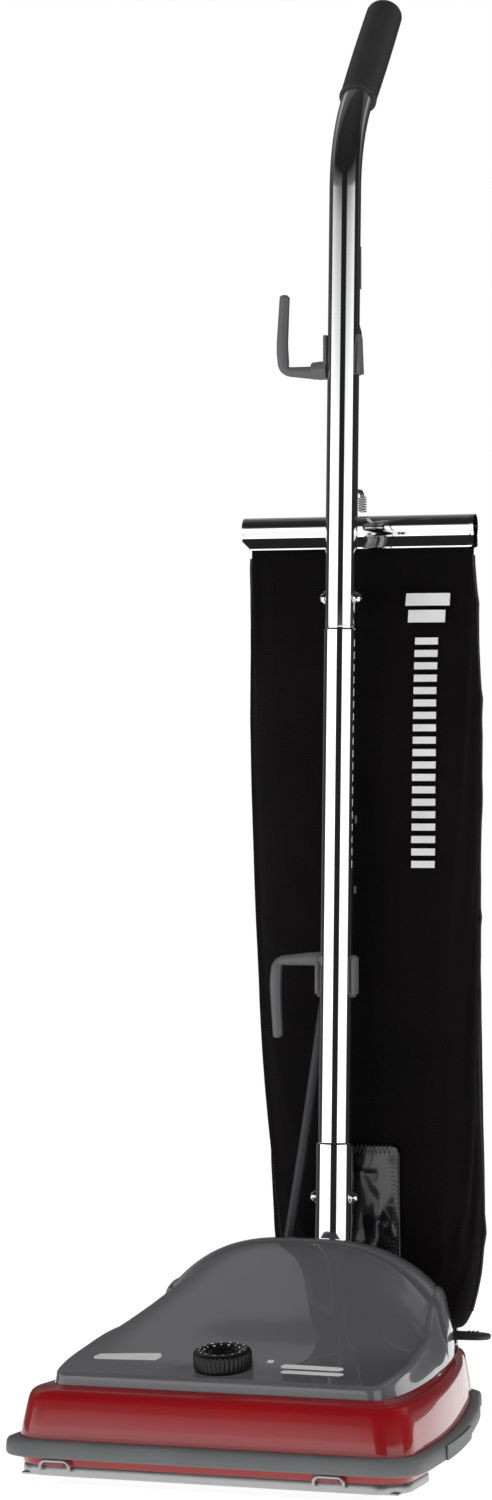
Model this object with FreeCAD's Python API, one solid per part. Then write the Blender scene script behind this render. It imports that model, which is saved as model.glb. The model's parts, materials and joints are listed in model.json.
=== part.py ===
import FreeCAD, Part
import math
import os

os.makedirs("parts", exist_ok=True)
V = FreeCAD.Vector
X = V(1, 0, 0)
Y = V(0, 1, 0)
Z = V(0, 0, 1)

# Upright vacuum cleaner, millimetres. While it is built, the handle tube stands near x = 0, y = 0,
# the nozzle points along -Y and the floor is z = 0. At the end everything is moved so that the
# origin is the bottom centre of the machine's box.

# ---- driving dimensions ----
GAP = 0.4                   # clearance between bodies that move past each other
RUN = 0.05                  # radial clearance of a shaft in its bearing

BASE_FRONT = -298.0         # red base, at the top of the furniture guard
BASE_REAR = 64.0
BASE_SIDE = [(-272, 154), (-199, 150), (-122, 139), (-23, 118), (38, 100)]
BASE_BOTTOM = 14.0
GUARD_BOTTOM = 20.0         # vinyl furniture guard round the base
GUARD_TOP = 33.0
GUARD_PROUD = 8.0
CREASE = 67.0               # where the red side wall turns into the top
DECK = 71.0                 # the hood stands on the base at this height
DECK_FRONT = -281.0
DECK_REAR = 44.0
DECK_SIDE = [(-262, 131), (-192, 133), (-115, 124), (8, 99), (26, 93)]
BASE_WALL = 3.0

HOOD_WALL = 3.0
HOOD_LIP = 81.0             # top of the hood's upright front lip
APRON_SLOPE = 0.15          # the hood's flat apron rises towards the rear
# y, half-width at the foot, height of the crown, height of the side edge, steepness of the dome
HOOD_SECTIONS = [
    (-277, 127, 81.4, 81, 3.0),
    (-250, 132, 85.8, 85, 3.0),
    (-232, 133, 90.5, 88, 3.0),
    (-214, 133, 98.0, 90, 2.6),
    (-178, 131, 115.5, 95, 1.9),
    (-140, 127, 133.0, 100, 1.35),
    (-106, 121, 148.5, 105, 0.97),
    (-74, 116, 160.0, 119, 0.85),
    (-55, 112, 162.0, 127, 0.75),
    (-30, 107, 157.5, 125, 0.7),
    (8, 97, 140.0, 110, 0.7),
]

PIVOT_Y = 30.0              # the handle's pivot line, along X
PIVOT_Z = 50.0
TUBE_Y = -2.3               # handle tube axis at TUBE_Z, leaning back by TUBE_LEAN
TUBE_Z = 243.0
TUBE_LEAN = 0.034
SOCKET_R = 15.1
MIDDLE_R = 13.5
UPPER_R = 12.7
TUBE_WALL = 1.6
SOCKET_LOW = 112.0
SOCKET_TOP = 233.0
JOINT_Z = 641.0             # upper tube meets middle tube
BEND_Z = 992.0              # the upper tube starts to bend here
BEND_R = 118.0
GRIP_LEAN = math.radians(40)
GRIP_R = 15.6
GRIP_LENGTH = 112.0
BOLT_HEIGHTS = [190.0, 665.0]

UPPER_HOOK_Z = 847.0
LOWER_HOOK_Z = 376.0
SWITCH_Z = 930.0
HOOK_REACH = 51.0
HOOK_FINGER = 58.0

CHANNEL_HALF = 101.0        # channel that closes the top of the bag
CHANNEL_LOW = 706.0
CHANNEL_TOP = 733.0
CHANNEL_Y = 66.0
BAG_BOTTOM = 80.0

MOTOR_Z = 62.0
MOTOR_FRONT = -112.0
MOTOR_REAR = -34.0
MOTOR_R = 38.0
FAN_R = 46.0
FAN_FRONT = -150.0
FAN_REAR = -115.0
SHAFT_R = 4.0
PULLEY_R = 5.0

DUCT_R = 9.5                # exhaust duct beside the motor
DUCT_X = 46.0
DUCT_Z = 50.0
SPIGOT_R = 13.0             # the fill tube turns on this spigot, on the pivot line
EAR_IN = 56.0               # trunnion ears of the frame, and the bail's arms outside them
EAR_OUT = 62.0
ARM_IN = 62.4
ARM_OUT = 69.0

ROLLER_Y = -262.0
ROLLER_Z = 29.0
ROLLER_R = 14.0
BRISTLE_R = 24.0
ROLLER_HALF = 124.0

REAR_WHEEL_R = 25.0
REAR_WHEEL_Y = 26.0
REAR_WHEEL_X = 82.0
FRONT_WHEEL_R = 13.0
FRONT_WHEEL_Y = -205.0
FRONT_WHEEL_X = 62.0
CARRIAGE_TRAVEL = 6.0       # the knob pushes the front wheels down by this
KNOB_TURN = 270             # degrees

KNOB_X = -3.0
KNOB_Y = -250.0
KNOB_R = 21.5
KNOB_HEIGHT = 14.0
POST_X = KNOB_X + 13.0      # the wheel carriage's post under the knob's cam

SCREW_X = 118.0             # the hood's screws, driven up through the base's top
SCREW_Y = -150.0

parts = {}


# ---- helpers ----
def box(x0, x1, y0, y1, z0, z1):
    return Part.makeBox(x1 - x0, y1 - y0, z1 - z0, V(x0, y0, z0))


def rod(start, end, radius):
    way = end - start
    return Part.makeCylinder(radius, way.Length, start, way)


def pipe(start, end, outer, inner):
    return rod(start, end, outer).cut(rod(start, end, inner))


def fuse(shapes):
    whole = shapes[0].multiFuse(shapes[1:]) if len(shapes) > 1 else shapes[0]
    return whole.removeSplitter()


def plate_yz(points, x0, x1):
    """A flat plate: an outline in Y and Z, thick along X."""
    corners = [V(x0, y, z) for y, z in points]
    face = Part.Face(Part.makePolygon(corners + corners[:1]))
    return face.extrude(V(x1 - x0, 0, 0))


def mirrored(shape):
    return shape.mirror(V(0, 0, 0), X)


def both_sides(shape):
    return Part.makeCompound([shape, mirrored(shape)])


def curve(points):
    line = Part.BSplineCurve()
    line.interpolate(points)
    return line.toShape()


def on_tube(height):
    """The handle tube's axis at a height."""
    return V(0, TUBE_Y + TUBE_LEAN * (height - TUBE_Z), height)


def floor_plan(z, front, side, rear, inset=0.0, corner=24.0):
    """A closed outline: straight front, rounded corners, curved sides, rounded rear corners."""
    front += inset
    rear -= inset
    points = [V(w - inset, y, z) for y, w in side]
    first = points[0]
    last = points[-1]
    reach = first.x - corner
    cut = 1 - math.sqrt(0.5)
    rear_run = rear - last.y
    front_mid = V(first.x - corner * cut, front + (first.y - front) * cut, z)
    rear_mid = V(last.x - rear_run * cut, rear - rear_run * cut, z)
    rear_in = V(last.x - rear_run, rear, z)
    front_in = V(reach, front, z)

    def flip(p):
        return V(-p.x, p.y, p.z)

    right = [
        Part.Arc(front_in, front_mid, first).toShape(),
        curve(points),
        Part.Arc(last, rear_mid, rear_in).toShape(),
    ]
    left = [
        Part.Arc(flip(rear_in), flip(rear_mid), flip(last)).toShape(),
        curve([flip(p) for p in reversed(points)]),
        Part.Arc(flip(first), flip(front_mid), flip(front_in)).toShape(),
    ]
    back = Part.makeLine(rear_in, flip(rear_in))
    face = Part.makeLine(flip(front_in), front_in)
    return Part.Wire(right + [back] + left + [face])


def base_plan(z, inset):
    return floor_plan(z, BASE_FRONT, BASE_SIDE, BASE_REAR, inset)


def deck_plan(z, inset):
    return floor_plan(z, DECK_FRONT, DECK_SIDE, DECK_REAR, inset, 14.0)


# ---- base ----
def screw_hole():
    return rod(V(SCREW_X, SCREW_Y, DECK - 10), V(SCREW_X, SCREW_Y, DECK + 14), 2)


def base_outer():
    levels = [
        base_plan(BASE_BOTTOM, 2.0),
        base_plan(GUARD_TOP, 0.0),
        base_plan(CREASE, 6.0),
        base_plan(CREASE + 3.0, 9.5),
        deck_plan(DECK, 0.0),
    ]
    return Part.makeLoft(levels, True, True)


def base_housing():
    hollow = Part.makeLoft([
        base_plan(BASE_BOTTOM - 1, 2 + BASE_WALL),
        base_plan(GUARD_TOP, BASE_WALL),
        base_plan(CREASE - BASE_WALL, 6 + BASE_WALL),
        deck_plan(DECK - BASE_WALL, BASE_WALL + 2),
    ], True, True)
    shell = base_outer().cut(hollow)
    window = Part.Face(floor_plan(DECK - 8, -226, [(-206, 104), (-115, 98), (8, 84), (26, 78)], 38, 0, 14))
    shell = shell.cut(window.extrude(V(0, 0, 20)))
    knob_well = rod(V(KNOB_X, KNOB_Y, DECK - 8), V(KNOB_X, KNOB_Y, DECK + 8), 22.5)
    shell = shell.cut(knob_well).cut(both_sides(screw_hole()))
    chamber_wall = box(-160, 160, -234, -231, BASE_BOTTOM + 0.2, 57).common(base_outer())
    post_slot = box(POST_X - 5, POST_X + 5, -240, -225, 44, 62)
    shaft_notch = rod(motor_axis(-240), motor_axis(-225), SHAFT_R + 2)
    handle_well = box(-74, 74, 34, 80, 40, 80)
    return fuse([shell, chamber_wall]).cut(post_slot).cut(shaft_notch).cut(handle_well)


def furniture_guard():
    ring = Part.makeLoft([
        base_plan(GUARD_BOTTOM, 1 - GUARD_PROUD + 2),
        base_plan(GUARD_BOTTOM + 3, -GUARD_PROUD),
        base_plan(GUARD_TOP - 2, -GUARD_PROUD),
        base_plan(GUARD_TOP, -GUARD_PROUD + 2),
    ], True, True)
    return ring.cut(base_outer())


def nozzle_guard():
    """Bright steel frame round the suction mouth, with bars that keep rugs off the roller."""
    slab = Part.Face(base_plan(6, 3)).extrude(V(0, 0, 8))
    slab = slab.common(box(-160, 160, -300, -226, 6, 14))
    pocket = Part.Face(base_plan(8, 5)).extrude(V(0, 0, 8))
    pocket = pocket.common(box(-160, 160, -300, -228, 8, 16))
    mouth = box(-126, 126, -292, -234.5, 5, 9)
    frame = slab.cut(pocket).cut(mouth)
    bars = [box(x - 1.5, x + 1.5, -293, -234, 6, 7.5) for x in range(-100, 101, 50)]
    bars = [bar.cut(rod(V(-200, ROLLER_Y, ROLLER_Z), V(200, ROLLER_Y, ROLLER_Z), BRISTLE_R + 0.6)) for bar in bars]
    solid_bars = [piece for bar in bars for piece in bar.Solids]
    return fuse([frame] + solid_bars)


def guard_clip(x):
    """A spring loop that hooks the nozzle guard on a lug of the base."""
    front = BASE_FRONT + 1.5
    legs = [box(x + s * 11 - 1.2, x + s * 11 + 1.2, front - 2.4, front, 10, 18) for s in (-1, 1)]
    top = box(x - 12.2, x + 12.2, front - 2.4, front, 16, 18.4)
    return fuse(legs + [top]).cut(base_outer())


def bottom_plate():
    sheet = Part.Face(base_plan(BASE_BOTTOM, 6)).extrude(V(0, 0, 2))
    sheet = sheet.common(box(-160, 160, -222, 60, 10, 20))
    for side in (-1, 1):
        x = side * FRONT_WHEEL_X
        sheet = sheet.cut(box(x - 12, x + 12, FRONT_WHEEL_Y - 17, FRONT_WHEEL_Y + 17, 10, 20))
        x = side * REAR_WHEEL_X
        sheet = sheet.cut(box(x - 14, x + 14, REAR_WHEEL_Y - 28, BASE_REAR, 10, 20))
    return sheet


# ---- motor and fan ----
def motor_axis(y):
    return V(0, y, MOTOR_Z)


def fan_housing():
    cup = rod(motor_axis(FAN_FRONT), motor_axis(FAN_REAR - 3), FAN_R)
    cup = cup.cut(rod(motor_axis(FAN_FRONT + 3), motor_axis(FAN_REAR), FAN_R - 3))
    inlet = pipe(motor_axis(-200), motor_axis(FAN_FRONT), 20, 17.5)
    eye = rod(motor_axis(FAN_FRONT - 1), motor_axis(FAN_FRONT + 4), 17.5)
    outlet = rod(V(46, -133, DUCT_Z), V(46, -100, DUCT_Z), DUCT_R)
    return fuse([cup, inlet]).cut(eye).cut(outlet)


def fan_cover():
    plate = rod(motor_axis(FAN_REAR - 3), motor_axis(FAN_REAR), FAN_R)
    return plate.cut(rod(motor_axis(FAN_REAR - 4), motor_axis(FAN_REAR + 1), 11))


def motor_housing():
    can = pipe(motor_axis(MOTOR_FRONT - 3), motor_axis(MOTOR_REAR), MOTOR_R, MOTOR_R - 2)
    feet = fuse([
        box(-34, 34, -104, -92, 16, 30),
        box(-34, 34, -54, -42, 16, 30),
    ]).cut(rod(motor_axis(-200), motor_axis(0), MOTOR_R - 1))
    return fuse([can, feet])


def motor_end_cap():
    cap = rod(motor_axis(MOTOR_REAR), motor_axis(MOTOR_REAR + 6), MOTOR_R)
    cap = cap.cut(rod(motor_axis(MOTOR_REAR - 1), motor_axis(MOTOR_REAR + 3), 8))
    vents = []
    for i in range(8):
        slot = box(-3, 3, MOTOR_REAR - 1, MOTOR_REAR + 7, MOTOR_Z + 16, MOTOR_Z + 32)
        slot.rotate(motor_axis(0), Y, i * 45)
        vents.append(slot)
    return cap.cut(Part.makeCompound(vents))


def field_core():
    core = pipe(motor_axis(-104), motor_axis(-66), MOTOR_R - 2, 24)
    windings = [
        pipe(motor_axis(-110), motor_axis(-104), 34, 26),
        pipe(motor_axis(-66), motor_axis(-60), 34, 26),
    ]
    return fuse([core] + windings)


def bearing(y0, y1, outer):
    return pipe(motor_axis(y0), motor_axis(y1), outer, SHAFT_R + RUN)


def rotor_shaft():
    return rod(motor_axis(-268), motor_axis(MOTOR_REAR + 2.6), SHAFT_R)


def belt_pulley():
    return pipe(motor_axis(-268), motor_axis(-254), PULLEY_R, SHAFT_R)


def suction_fan():
    disc = rod(motor_axis(-124), motor_axis(-122), 40)
    hub = rod(motor_axis(-142), motor_axis(-122), 8)
    blades = []
    for i in range(8):
        blade = box(-1, 1, -140, -123, MOTOR_Z + 7, MOTOR_Z + 39)
        blade.rotate(motor_axis(0), Y, i * 45)
        blades.append(blade)
    bore = rod(motor_axis(-150), motor_axis(-110), SHAFT_R)
    return fuse([disc, hub] + blades).cut(bore)


def armature():
    core = rod(motor_axis(-103), motor_axis(-67), 22.5)
    slots = []
    for i in range(12):
        slot = box(-1.2, 1.2, -104, -66, MOTOR_Z + 15, MOTOR_Z + 24)
        slot.rotate(motor_axis(0), Y, i * 30)
        slots.append(slot)
    bore = rod(motor_axis(-110), motor_axis(-60), SHAFT_R)
    return core.cut(Part.makeCompound(slots)).cut(bore)


def commutator():
    return pipe(motor_axis(-56), motor_axis(-42), 11, SHAFT_R)


def carbon_brush():
    return box(11 + GAP, MOTOR_R - 4, -52, -46, MOTOR_Z - 4, MOTOR_Z + 4)


def belt_strip(side):
    """One run of the flat belt, turned a quarter on its way from the shaft to the roller."""
    steps = 6
    wires = []
    start = V(side * (PULLEY_R + 1.3), -261, MOTOR_Z)
    end = V(0, ROLLER_Y + side * (ROLLER_R + 1.3), ROLLER_Z)
    for i in range(steps + 1):
        t = i / steps
        turn = math.radians(90) * t
        middle = start + (end - start) * t
        wide = V(math.sin(turn), math.cos(turn), 0) * 4.0
        thick = V(math.cos(turn), -math.sin(turn), 0) * 0.8
        corners = [middle + wide + thick, middle - wide + thick, middle - wide - thick, middle + wide - thick]
        wires.append(Part.makePolygon(corners + corners[:1]))
    return Part.makeLoft(wires, True, True)


def drive_belt():
    upper = pipe(V(0, -265, MOTOR_Z), V(0, -257, MOTOR_Z), PULLEY_R + 2.1, PULLEY_R + 0.5)
    upper = upper.common(box(-20, 20, -270, -250, MOTOR_Z, MOTOR_Z + 20))
    lower = pipe(V(-4, ROLLER_Y, ROLLER_Z), V(4, ROLLER_Y, ROLLER_Z), ROLLER_R + 2.1, ROLLER_R + 0.5)
    lower = lower.common(box(-20, 20, -290, -230, ROLLER_Z - 20, ROLLER_Z))
    whole = fuse([upper, lower, belt_strip(1), belt_strip(-1)])
    pulley = rod(motor_axis(-270), motor_axis(-250), PULLEY_R + 0.5)
    roller = rod(V(-20, ROLLER_Y, ROLLER_Z), V(20, ROLLER_Y, ROLLER_Z), ROLLER_R + 0.5)
    return whole.cut(pulley).cut(roller)


# ---- brush roller ----
def brush_roller():
    axis_start = V(-ROLLER_HALF, ROLLER_Y, ROLLER_Z)
    axis_end = V(ROLLER_HALF, ROLLER_Y, ROLLER_Z)
    drum = rod(axis_start, axis_end, ROLLER_R)
    spindle = rod(axis_start - X * 8, axis_end + X * 8, 4)
    return fuse([drum, spindle])


def roller_bristles():
    """Two spiral rows of tufts, left out where the belt runs."""
    tufts = []
    for row in (0, 180):
        for i in range(20):
            x = -114 + i * 12
            if abs(x) < 10:
                continue
            tuft = rod(V(x, ROLLER_Y, ROLLER_Z + ROLLER_R), V(x, ROLLER_Y, ROLLER_Z + BRISTLE_R), 3)
            tuft.rotate(V(0, ROLLER_Y, ROLLER_Z), X, row + i * 9)
            tufts.append(tuft)
    return Part.makeCompound(tufts)


def roller_bearing():
    block = box(ROLLER_HALF + 1, ROLLER_HALF + 11, ROLLER_Y - 12, ROLLER_Y + 12, ROLLER_Z - 12, ROLLER_Z + 14)
    hole = rod(V(100, ROLLER_Y, ROLLER_Z), V(ROLLER_HALF + 8.4, ROLLER_Y, ROLLER_Z), 4 + RUN)
    return block.cut(hole)


# ---- hood ----
def hood_section(y, foot, crown, edge, steep, inset):
    """One slice of the hood across the machine: sides that lean in, then a dome over them."""
    half = foot - inset
    lean = half - 3.0 - 0.15 * max(edge - 90, 0)
    top = []
    steps = 14
    for i in range(steps + 1):
        x = -lean + 2 * lean * i / steps
        rise = max(1 - (x / lean) ** 2, 0) ** steep
        top.append(V(x, y, edge + (crown - edge) * rise - inset))
    low = DECK if inset == 0 else DECK - 6
    left = V(-half, y, low)
    right = V(half, y, low)
    return Part.Wire([
        Part.makeLine(right, left),
        Part.makeLine(left, top[0]),
        curve(top),
        Part.makeLine(top[-1], right),
    ])


def hood_solid(inset):
    sections = []
    for i, (y, foot, crown, edge, steep) in enumerate(HOOD_SECTIONS):
        if i == 0:
            y += inset
        if i == len(HOOD_SECTIONS) - 1:
            y += inset * 2
        sections.append(hood_section(y, foot, crown, edge, steep, inset))
    return Part.makeLoft(sections, True, True)


def motor_hood():
    shell = hood_solid(0.0).cut(hood_solid(HOOD_WALL))
    boss = rod(V(SCREW_X, SCREW_Y, DECK), V(SCREW_X, SCREW_Y, DECK + 40), 5).common(hood_solid(1.0))
    shell = fuse([shell, boss, mirrored(boss)]).cut(both_sides(screw_hole()))
    tube_notch = box(-56, 22, -26, 20, 90, 200)
    bail_gap = box(-86, 86, -22, 20, 60, 122)
    stem = rod(V(KNOB_X, KNOB_Y, 60), V(KNOB_X, KNOB_Y, 100), 7)
    recess = rod(along_knob(-0.6), along_knob(30), KNOB_R + 1)
    pedal_slot = box(70, 110, -2, 20, 60, 96)
    return shell.cut(tube_notch).cut(bail_gap).cut(stem).cut(recess).cut(pedal_slot)


def hood_screw():
    under = DECK - BASE_WALL - 0.2
    shank = rod(V(SCREW_X, SCREW_Y, under), V(SCREW_X, SCREW_Y, DECK + 12), 2)
    head = rod(V(SCREW_X, SCREW_Y, under - 2.6), V(SCREW_X, SCREW_Y, under), 4)
    return fuse([shank, head])


# ---- height adjuster ----
KNOB_TILT = math.atan(APRON_SLOPE)
KNOB_AXIS = V(0, -math.sin(KNOB_TILT), math.cos(KNOB_TILT))
KNOB_FOOT = V(KNOB_X, KNOB_Y, HOOD_LIP + APRON_SLOPE * (KNOB_Y - HOOD_SECTIONS[0][0]) + 1.6)


def along_knob(height):
    return KNOB_FOOT + KNOB_AXIS * height


def height_knob():
    body = rod(along_knob(0), along_knob(KNOB_HEIGHT), KNOB_R)
    dish = rod(along_knob(KNOB_HEIGHT - 4), along_knob(KNOB_HEIGHT + 1), 10)
    grooves = []
    side = V(KNOB_R, 0, 0)
    for i in range(36):
        groove = rod(along_knob(-1) + side, along_knob(KNOB_HEIGHT - 2.5) + side, 0.9)
        groove.rotate(KNOB_FOOT, KNOB_AXIS, i * 10)
        grooves.append(groove)
    body = body.cut(dish).cut(Part.makeCompound(grooves))
    stem = rod(along_knob(-8), along_knob(0), 5)
    return fuse([body, stem])


def height_cam():
    """A stair of ten steps under the knob; each one pushes the carriage's post down a little more."""
    step_drop = CARRIAGE_TRAVEL * 30 / KNOB_TURN
    sectors = []
    for i in range(10):
        thick = 0.8 + step_drop * i
        wedge = Part.makeCylinder(19, thick, V(0, 0, -thick), Z, 30)
        wedge.rotate(V(0, 0, 0), Z, 2 - 30 * i)
        sectors.append(wedge)
    cam = fuse(sectors)
    cam.rotate(V(0, 0, 0), X, math.degrees(KNOB_TILT))
    cam.translate(along_knob(-5))
    return cam.cut(rod(along_knob(-30), along_knob(0), 5))


def wheel_carriage():
    """Cross bar with two wheel forks, pushed down by the cam through a post."""
    end = FRONT_WHEEL_X + 12
    rear = FRONT_WHEEL_Y + 4
    front = FRONT_WHEEL_Y - 4
    bar = box(-end, end, front, rear, 29, 34)
    cheeks = []
    for side in (-1, 1):
        inner = V(side * FRONT_WHEEL_X - 11.2, FRONT_WHEEL_Y, FRONT_WHEEL_R)
        cheeks.append(rod(inner, inner + X * 22.4, 3))
        for offset in (-9.5, 9.5):
            x = side * FRONT_WHEEL_X + offset
            cheeks.append(box(x - 1.5, x + 1.5, front, rear, 9, 34))
    riser = box(POST_X - 2.5, POST_X + 2.5, front, front + 4, 29, 56)
    reach = box(POST_X - 2.5, POST_X + 2.5, -249.5, front + 4, 52, 56)
    post = rod(V(POST_X, -247, 52), V(POST_X, -247, 79.4), 2.5)
    return fuse([bar, riser, reach, post] + cheeks)


def front_wheel(side):
    x = side * FRONT_WHEEL_X
    return pipe(V(x - 7, FRONT_WHEEL_Y, FRONT_WHEEL_R), V(x + 7, FRONT_WHEEL_Y, FRONT_WHEEL_R),
                FRONT_WHEEL_R, 3 + RUN)


def rear_wheel(side):
    x = side * REAR_WHEEL_X
    return pipe(V(x - 8, REAR_WHEEL_Y, REAR_WHEEL_R), V(x + 8, REAR_WHEEL_Y, REAR_WHEEL_R),
                REAR_WHEEL_R, 4 + RUN)


def rear_axle():
    return rod(V(-92, REAR_WHEEL_Y, REAR_WHEEL_R), V(92, REAR_WHEEL_Y, REAR_WHEEL_R), 4)


def exhaust_duct():
    run = rod(V(DUCT_X, -112, DUCT_Z), V(DUCT_X, PIVOT_Y, DUCT_Z), DUCT_R)
    knuckle = rod(V(27, PIVOT_Y, PIVOT_Z), V(DUCT_X + 8, PIVOT_Y, PIVOT_Z), SPIGOT_R)
    spigot = rod(V(6, PIVOT_Y, PIVOT_Z), V(27, PIVOT_Y, PIVOT_Z), SPIGOT_R)
    whole = fuse([run, knuckle, spigot])
    bore = fuse([
        rod(V(DUCT_X, -114, DUCT_Z), V(DUCT_X, PIVOT_Y, DUCT_Z), DUCT_R - 1.5),
        rod(V(4, PIVOT_Y, PIVOT_Z), V(DUCT_X + 6, PIVOT_Y, PIVOT_Z), SPIGOT_R - 1.5),
    ])
    whole = whole.cut(bore)
    return whole.cut(rod(motor_axis(-200), motor_axis(0), MOTOR_R))


def trunnion_frame():
    """Cast cross-piece on the base that carries the rear axle and the handle's pivot."""
    foot = box(-EAR_OUT, EAR_OUT, 14, 46, 16, 19)
    ear = plate_yz([(16, 16), (44, 16), (40, 56), (34, 61), (26, 61), (20, 56)], EAR_IN, EAR_OUT)
    whole = fuse([foot, ear, mirrored(ear)])
    axle_hole = rod(V(-100, REAR_WHEEL_Y, REAR_WHEEL_R), V(100, REAR_WHEEL_Y, REAR_WHEEL_R), 4)
    pivot_hole = rod(V(-100, PIVOT_Y, PIVOT_Z), V(100, PIVOT_Y, PIVOT_Z), 4)
    return whole.cut(axle_hole).cut(pivot_hole)


def trunnion_bolt():
    shank = rod(V(EAR_IN, PIVOT_Y, PIVOT_Z), V(ARM_OUT + 1, PIVOT_Y, PIVOT_Z), 4)
    head = rod(V(ARM_OUT + GAP, PIVOT_Y, PIVOT_Z), V(ARM_OUT + 4, PIVOT_Y, PIVOT_Z), 6.5)
    return fuse([shank, head])


# ---- pedal ----
PEDAL_PIN_X = 84.0
PEDAL_Z = 80.0
PEDAL_Y = 29.0


def release_pedal():
    bar = box(74, 110, PEDAL_Y - 9, PEDAL_Y + 9, PEDAL_Z - 3.5, PEDAL_Z + 3.5)
    tip = rod(V(110, PEDAL_Y, PEDAL_Z - 3.5), V(110, PEDAL_Y, PEDAL_Z + 3.5), 9)
    pin_hole = rod(V(PEDAL_PIN_X, 0, PEDAL_Z), V(PEDAL_PIN_X, 60, PEDAL_Z), 2 + RUN)
    return fuse([bar, tip]).cut(pin_hole)


def pedal_bracket():
    lugs = [box(80, 88, y, y + 4, 70, 84) for y in (PEDAL_Y - 14, PEDAL_Y + 10)]
    foot = box(79.5, 88, PEDAL_Y - 14, PEDAL_Y + 14, 71, 72.4)
    pin = rod(V(PEDAL_PIN_X, PEDAL_Y - 14, PEDAL_Z), V(PEDAL_PIN_X, PEDAL_Y + 14, PEDAL_Z), 2)
    return fuse(lugs + [foot]).cut(base_outer()).fuse(pin)


# ---- handle ----
def handle_bail():
    """Cast yoke: two arms from the pivot up to a cross-piece that holds the tube socket."""
    arm = plate_yz([(22, 44), (30, 39), (38, 44), (41, 52), (36, 64), (10, 112), (-20, 112), (-20, 96), (6, 92)],
                   ARM_IN, ARM_OUT)
    cross = box(-ARM_OUT, ARM_OUT, -20, 8, 97, 112)
    hub = rod(on_tube(97), on_tube(126), SOCKET_R + 3)
    whole = fuse([arm, mirrored(arm), cross, hub])
    pivot_hole = rod(V(-100, PIVOT_Y, PIVOT_Z), V(100, PIVOT_Y, PIVOT_Z), 4 + RUN)
    well = rod(on_tube(SOCKET_LOW), on_tube(140), SOCKET_R)
    return whole.cut(pivot_hole).cut(well)


def tube_bolt_hole(height):
    middle = on_tube(height)
    return rod(middle - X * 40, middle + X * 40, 2.6)


def handle_socket():
    sleeve = pipe(on_tube(SOCKET_LOW), on_tube(SOCKET_TOP), SOCKET_R, MIDDLE_R)
    return sleeve.cut(tube_bolt_hole(BOLT_HEIGHTS[0]))


def middle_tube():
    body = rod(on_tube(SOCKET_LOW + 20), on_tube(JOINT_Z), MIDDLE_R)
    neck = rod(on_tube(JOINT_Z), on_tube(JOINT_Z + 50), UPPER_R - TUBE_WALL)
    bore = rod(on_tube(SOCKET_LOW), on_tube(JOINT_Z + 60), UPPER_R - 2 * TUBE_WALL)
    whole = fuse([body, neck]).cut(bore)
    return whole.cut(tube_bolt_hole(BOLT_HEIGHTS[0])).cut(tube_bolt_hole(BOLT_HEIGHTS[1]))


TUBE_ANGLE = math.atan(TUBE_LEAN)
BEND_START = on_tube(BEND_Z)
BEND_CENTRE = BEND_START + V(0, math.cos(TUBE_ANGLE), -math.sin(TUBE_ANGLE)) * BEND_R
BEND_END = BEND_CENTRE + V(0, -math.cos(GRIP_LEAN), math.sin(GRIP_LEAN)) * BEND_R
GRIP_WAY = V(0, math.sin(GRIP_LEAN), math.cos(GRIP_LEAN))


def bent_rod(radius, grip_run):
    """The upper tube's outer or inner volume: straight, a bend backwards, straight again."""
    straight = rod(on_tube(JOINT_Z), BEND_START, radius)
    ring = Part.Face(Part.Wire(Part.makeCircle(radius, BEND_START, on_tube(1) - on_tube(0))))
    bend = ring.revolve(BEND_CENTRE, V(-1, 0, 0), math.degrees(GRIP_LEAN - TUBE_ANGLE))
    end = rod(BEND_END, BEND_END + GRIP_WAY * grip_run, radius)
    return fuse([straight, bend, end])


def upper_tube():
    tube = bent_rod(UPPER_R, 90).cut(bent_rod(UPPER_R - TUBE_WALL, 95))
    rear = on_tube(SWITCH_Z) + Y * UPPER_R
    switch_hole = box(-6, 6, rear.y - 5, rear.y + 3, SWITCH_Z - 11, SWITCH_Z + 11)
    return tube.cut(tube_bolt_hole(BOLT_HEIGHTS[1])).cut(switch_hole)


def hand_grip():
    start = BEND_END + GRIP_WAY * 3
    end = start + GRIP_WAY * GRIP_LENGTH
    body = rod(start, end, GRIP_R)
    body = body.makeFillet(9, [e for e in body.Edges if (e.CenterOfMass - end).Length < 1 and e.Closed])
    lip = rod(start, start + GRIP_WAY * 3, GRIP_R + 0.8)
    return fuse([body, lip]).cut(rod(start - GRIP_WAY, BEND_END + GRIP_WAY * 90, UPPER_R))


def tube_bolt(height, radius):
    middle = on_tube(height)
    shank = rod(middle - X * (radius + 3), middle + X * (radius + 3), 2.5)
    ends = []
    for side in (-1, 1):
        face = middle + X * (side * radius)
        washer = rod(face, face + X * (side * 1.2), 5)
        dome = Part.makeSphere(4.2, face + X * (side * 1.2))
        keep = rod(face + X * (side * 1.2), face + X * (side * 8), 6)
        ends += [washer, dome.common(keep)]
    return fuse([shank] + ends).cut(rod(on_tube(height - 20), on_tube(height + 20), radius).cut(
        rod(middle - X * 40, middle + X * 40, 2.5)))


def hook_bracket(low, high, radius):
    """Saddle behind the tube with two side ears."""
    band = pipe(on_tube(low), on_tube(high), radius + 2.4, radius)
    middle = on_tube((low + high) / 2)
    return band.common(box(-40, 40, middle.y - 2, middle.y + 40, low - 10, high + 10))


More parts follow.
